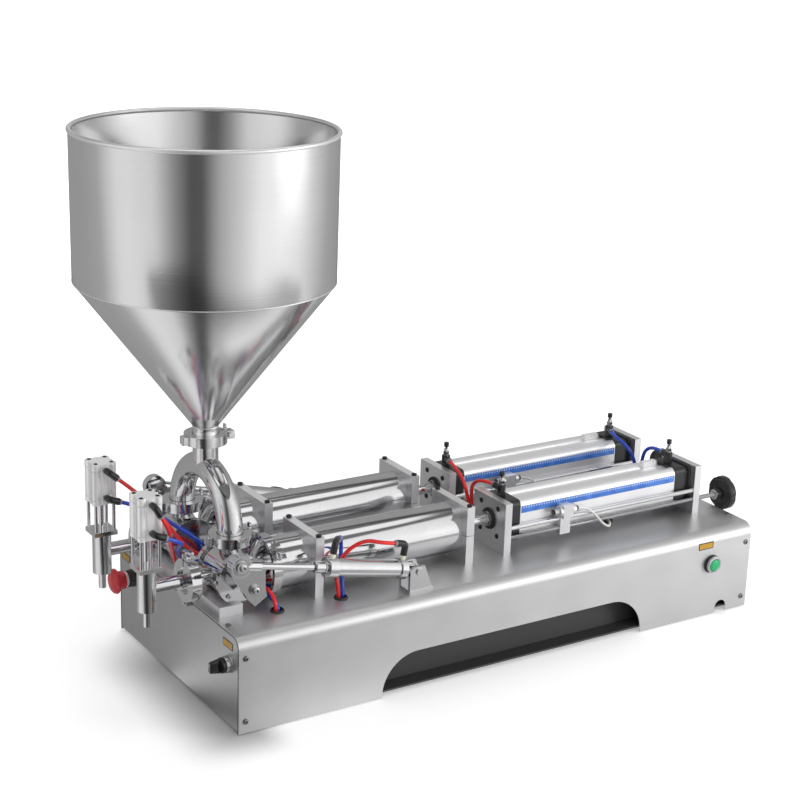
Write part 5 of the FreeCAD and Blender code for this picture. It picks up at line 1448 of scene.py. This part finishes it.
@dataclass
class StrokeAdjusters:
    """Handwheels on lead screws, and the sensors on the carriages that they move."""

    wheel_x: float = 481.5
    axis_z: float = 174.0
    screw_radius: float = 4.0
    screw_start: float = 36.0
    screw_stop: float = 469.5
    thread_pitch: float = 2.0
    thread_depth: float = 0.9
    thread_steps: int = 4
    hollow_depth: float = 0.04
    hollow_spread: float = 0.13
    hub_x: float = 467.5
    nut_x: float = 494.3
    sensor_y: float = 4.5
    sensor_z: float = 204.0
    sensor_cap_x: float = 166.8
    sensor_face_x: float = 123.2
    ring_radius: float = 6.0
    ring_width: float = 0.7
    sensor_rings: tuple[float, ...] = (125.2, 126.4, 127.6, 128.8, 130, 131.2, 132.4, 164.2, 165.4)
    wheel_profile: Rows = (
        (0, 1.5), (9, 1.5), (10, 0.5), (22, 3.2), (25.5, 0.8), (28.2, 1.2), (29, 3), (29, 11), (28.2, 12.8),
        (25.5, 13.2), (21, 10.5), (11, 10.5), (10, 14), (7, 14), (6.4, 13.2), (0, 13.2))
    hub_profile: Rows = ((0, 0), (8, 0), (9, 1), (9, 13), (8.2, 14.4), (0, 14.4))
    nut_profile: Rows = ((0, 0), (4.6, 0), (5.3, 0.5), (5.3, 2), (4.7, 2.5), (0, 2.5))
    cap_profile: Rows = ((0, 0), (5.2, 0), (5.2, 2.2), (4.2, 4.4), (2.3, 6.6), (0, 6.6))
    face_profile: Rows = ((0, 0), (4.9, 0), (5.4, 0.6), (5.4, 1.4), (0, 1.4))

    def wheel(self) -> Patch:
        """Turn a wheel whose rim has six finger hollows: r less a bell curve of the angle.

        Returns:
            The wheel, its own Z along the lead screw.
        """
        sides = 96
        from_hollow = np.abs(np.mod(around(sides) + np.pi / 6, np.pi / 3) - np.pi / 6)
        shaping = np.ones((len(self.wheel_profile), sides))
        shaping[4:10] = 1 - self.hollow_depth * np.exp(-((from_hollow / self.hollow_spread) ** 2))
        return lathe(self.wheel_profile, sides, shaping=shaping)

    def lead_screw(self) -> Patch:
        """Cut a thread: r = 4 less a triangle wave of the angle plus the way along.

        Returns:
            The screw, its own Z along it.
        """
        turns = (self.screw_stop - self.screw_start) / self.thread_pitch
        along = np.linspace(self.screw_start, self.screw_stop, int(turns * self.thread_steps))[:, None]
        angle = around(12)
        phase = np.mod(along / self.thread_pitch - angle / (2 * np.pi), 1.0)
        radius = self.screw_radius - self.thread_depth * np.abs(2 * phase - 1)
        points = np.stack([radius * np.cos(angle), radius * np.sin(angle), along + 0 * angle], axis=-1)
        ends = [np.tile((0.0, 0.0, z), (1, 12, 1)) for z in (self.screw_start, self.screw_stop)]
        return grid(np.concatenate([ends[0], points, ends[1]]), close_columns=True)

    def build(self, shop: Workshop) -> None:
        """Put both adjusters together, and the sensors on their carriages.

        Args:
            shop: Where the pieces go.
        """
        hub, nut, cap, face = (lathe(rows, sides) for rows, sides in (
            (self.hub_profile, 32), (self.nut_profile, 6), (self.cap_profile, 24), (self.face_profile, 24)))
        for side, sign in SIDES.items():
            y = HEAD_Y * sign - GUIDE_Y
            wheel, carriage = "handwheel_" + side, "sensor_carriage_" + side
            steel = [patch.placed((x, y, self.axis_z), Axis.X) for patch, x in (
                (self.lead_screw(), 0), (hub, self.hub_x), (nut, self.nut_x))]
            rim = self.wheel().placed((self.wheel_x, y, self.axis_z), Axis.X)
            shop.add("handwheel_rim_" + side, [rim], "black_plastic", "", wheel, [wheel], 45.0)
            shop.add("lead_screw_" + side, steel, "bright_screw", "screw_steel", wheel)
            rings = [bead(self.ring_radius, self.ring_width, x, 24) for x in self.sensor_rings]
            for name, patches, x, finish, slot in (
                    ("sensor_cap_", [cap], self.sensor_cap_x, "black_plastic", ""),
                    ("sensor_thread_", rings, 0.0, "bright_screw", "screw_steel"),
                    ("sensor_face_", [face], self.sensor_face_x, "black_plastic", "")):
                placed = [patch.placed((x, y - self.sensor_y, self.sensor_z), Axis.X) for patch in patches]
                shop.add(name + side, placed, finish, slot, carriage)


@dataclass(frozen=True)
class Turned:
    """A piece turned about a control's axis, from rows of radius and height over the sheet."""

    name: str
    control: str
    sides: int
    closed: bool
    rows: Rows
    finish: str
    slot: str = ""
    body: str = "machine"
    replaces: tuple[str, ...] = ()
    crease: float = 32.0


@dataclass
class Controls:
    """Start button, selector and emergency stop."""

    spots: dict[str, tuple[tuple[float, float, float], Axis]] = field(default_factory=lambda: {
        "start": ((396.0, -CASE_Y, 93.0), Axis.BACK_Y), "selector": ((-CASE_X, -175.0, 101.0), Axis.BACK_X),
        "stop": ((-CASE_X, 148.0, 111.0), Axis.BACK_X)})
    pieces: tuple[Turned, ...] = (
        Turned("start_bezel", "start", 48, True, (
            (10.6, 4.9), (10.6, 9.4), (11.2, 10.0), (12.2, 10.2), (13.7, 9.2), (14.2, 7.8), (14.2, 5.6),
            (13.6, 4.9)), "bright_screw", "black_plastic", replaces=("control_bezels",)),
        Turned("start_gasket", "start", 48, True, (
            (10.5, -2), (10.5, 4.8), (13.3, 4.8), (13.3, 1.8), (15.2, 1.6), (15.6, 1.2), (15.6, 0), (11, -2)),
            "black_rubber"),
        Turned("start_cap", "start", 48, False, (
            (0, 11.6), (6, 11.4), (9.0, 10.8), (10.1, 9.7), (10.3, 8), (10.3, -8), (0, -8)),
            "start_green", "", "start_button", ("start_button",), 50.0),
        Turned("selector_bezel", "selector", 48, True, (
            (7.6, -3), (7.6, 9.4), (8.2, 10), (11, 10), (12, 9.4), (12.5, 8), (12.5, 1.6), (13.4, 1.2),
            (13.4, 0), (9, -3)), "bright_screw", "black_plastic"),
        Turned("stop_base", "stop", 56, True, (
            (9.8, 0), (9.8, 9.0), (12.5, 9.0), (12.5, 13.4), (12.8, 13.7), (13.2, 13.2), (13.5, 8), (14, 7),
            (14, 0)), "black_plastic"),
        Turned("selector_handle", "selector", 40, False, (
            (0, -8), (7.3, -8), (7.3, 10.3), (11.0, 10.4), (11.6, 11), (11.6, 14.4), (10.8, 15.4), (0, 15.8)),
            "black_plastic", "", "selector_knob", ("selector_knob",)),
        Turned("stop_head", "stop", 56, False, (
            (0, 42), (9, 41.4), (15, 39.6), (18.6, 36.8), (20, 33.4), (19.6, 31.6), (16.6, 30.4), (15, 28),
            (14.4, 23), (14.6, 19.4), (13.6, 18.8), (9.5, 18.8), (9.5, -9), (0, -9)),
            "stop_red", "", "estop_button", ("estop_button",), 45.0),
        Turned("stop_band", "stop", 56, True, (
            (9.6, 14.3), (11.8, 14.3), (12.2, 14.8), (12.2, 18.2), (11.8, 18.7), (9.6, 18.7)),
            "wire_white", "stop_red", "estop_button"),
    )
    wing_start: float = 15.0
    wing_length: float = 17.0
    wing_taper: float = 0.3
    mark_start: float = 31.8
    mark_offset: float = 3.4

    def build(self, shop: Workshop) -> None:
        """Turn the pieces and set them on the case, with the selector's wing and its mark.

        Args:
            shop: Where the pieces go.
        """
        wing = bar(rounded_outline(3.6, 11.4, 3.2), self.wing_length, 1.4)
        wing.points[:, 1] *= 1 - self.wing_taper * (wing.points[:, 2] / self.wing_length) ** 2
        mark = bar(rounded_outline(0.6, 3.0, 0.5), 0.5, 0.05)
        (x, y, z), axis = self.spots["selector"]
        for piece in self.pieces:
            patches = [lathe(piece.rows, piece.sides, piece.closed).placed(*self.spots[piece.control])]
            if piece.name == "selector_handle":
                patches.append(wing.placed((x - self.wing_start, y, z), axis))
            shop.add(piece.name, patches, piece.finish, piece.slot, piece.body, piece.replaces, piece.crease)
            if piece.name == "selector_handle":
                placed = mark.placed((x - self.mark_start, y, z + self.mark_offset), axis)
                shop.add("selector_mark", [placed], "wire_white", "black_plastic", piece.body)


def main() -> None:
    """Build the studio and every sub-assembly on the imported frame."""
    logging.basicConfig(level=logging.INFO, format="%(message)s")
    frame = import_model()
    Studio().build()
    shop = Workshop(frame["nodes"], Finishes())
    for finish, nodes in DRESSED.items():
        shop.dress(finish, nodes)
    for assembly in (AirLines(), Case(), Screws(), Hopper(), Manifold(), NozzleHeads(), ValveDrives(),
                     AirCylinders(), StrokeAdjusters(), Controls()):
        assembly.build(shop)


if __name__ == "__main__":
    main()
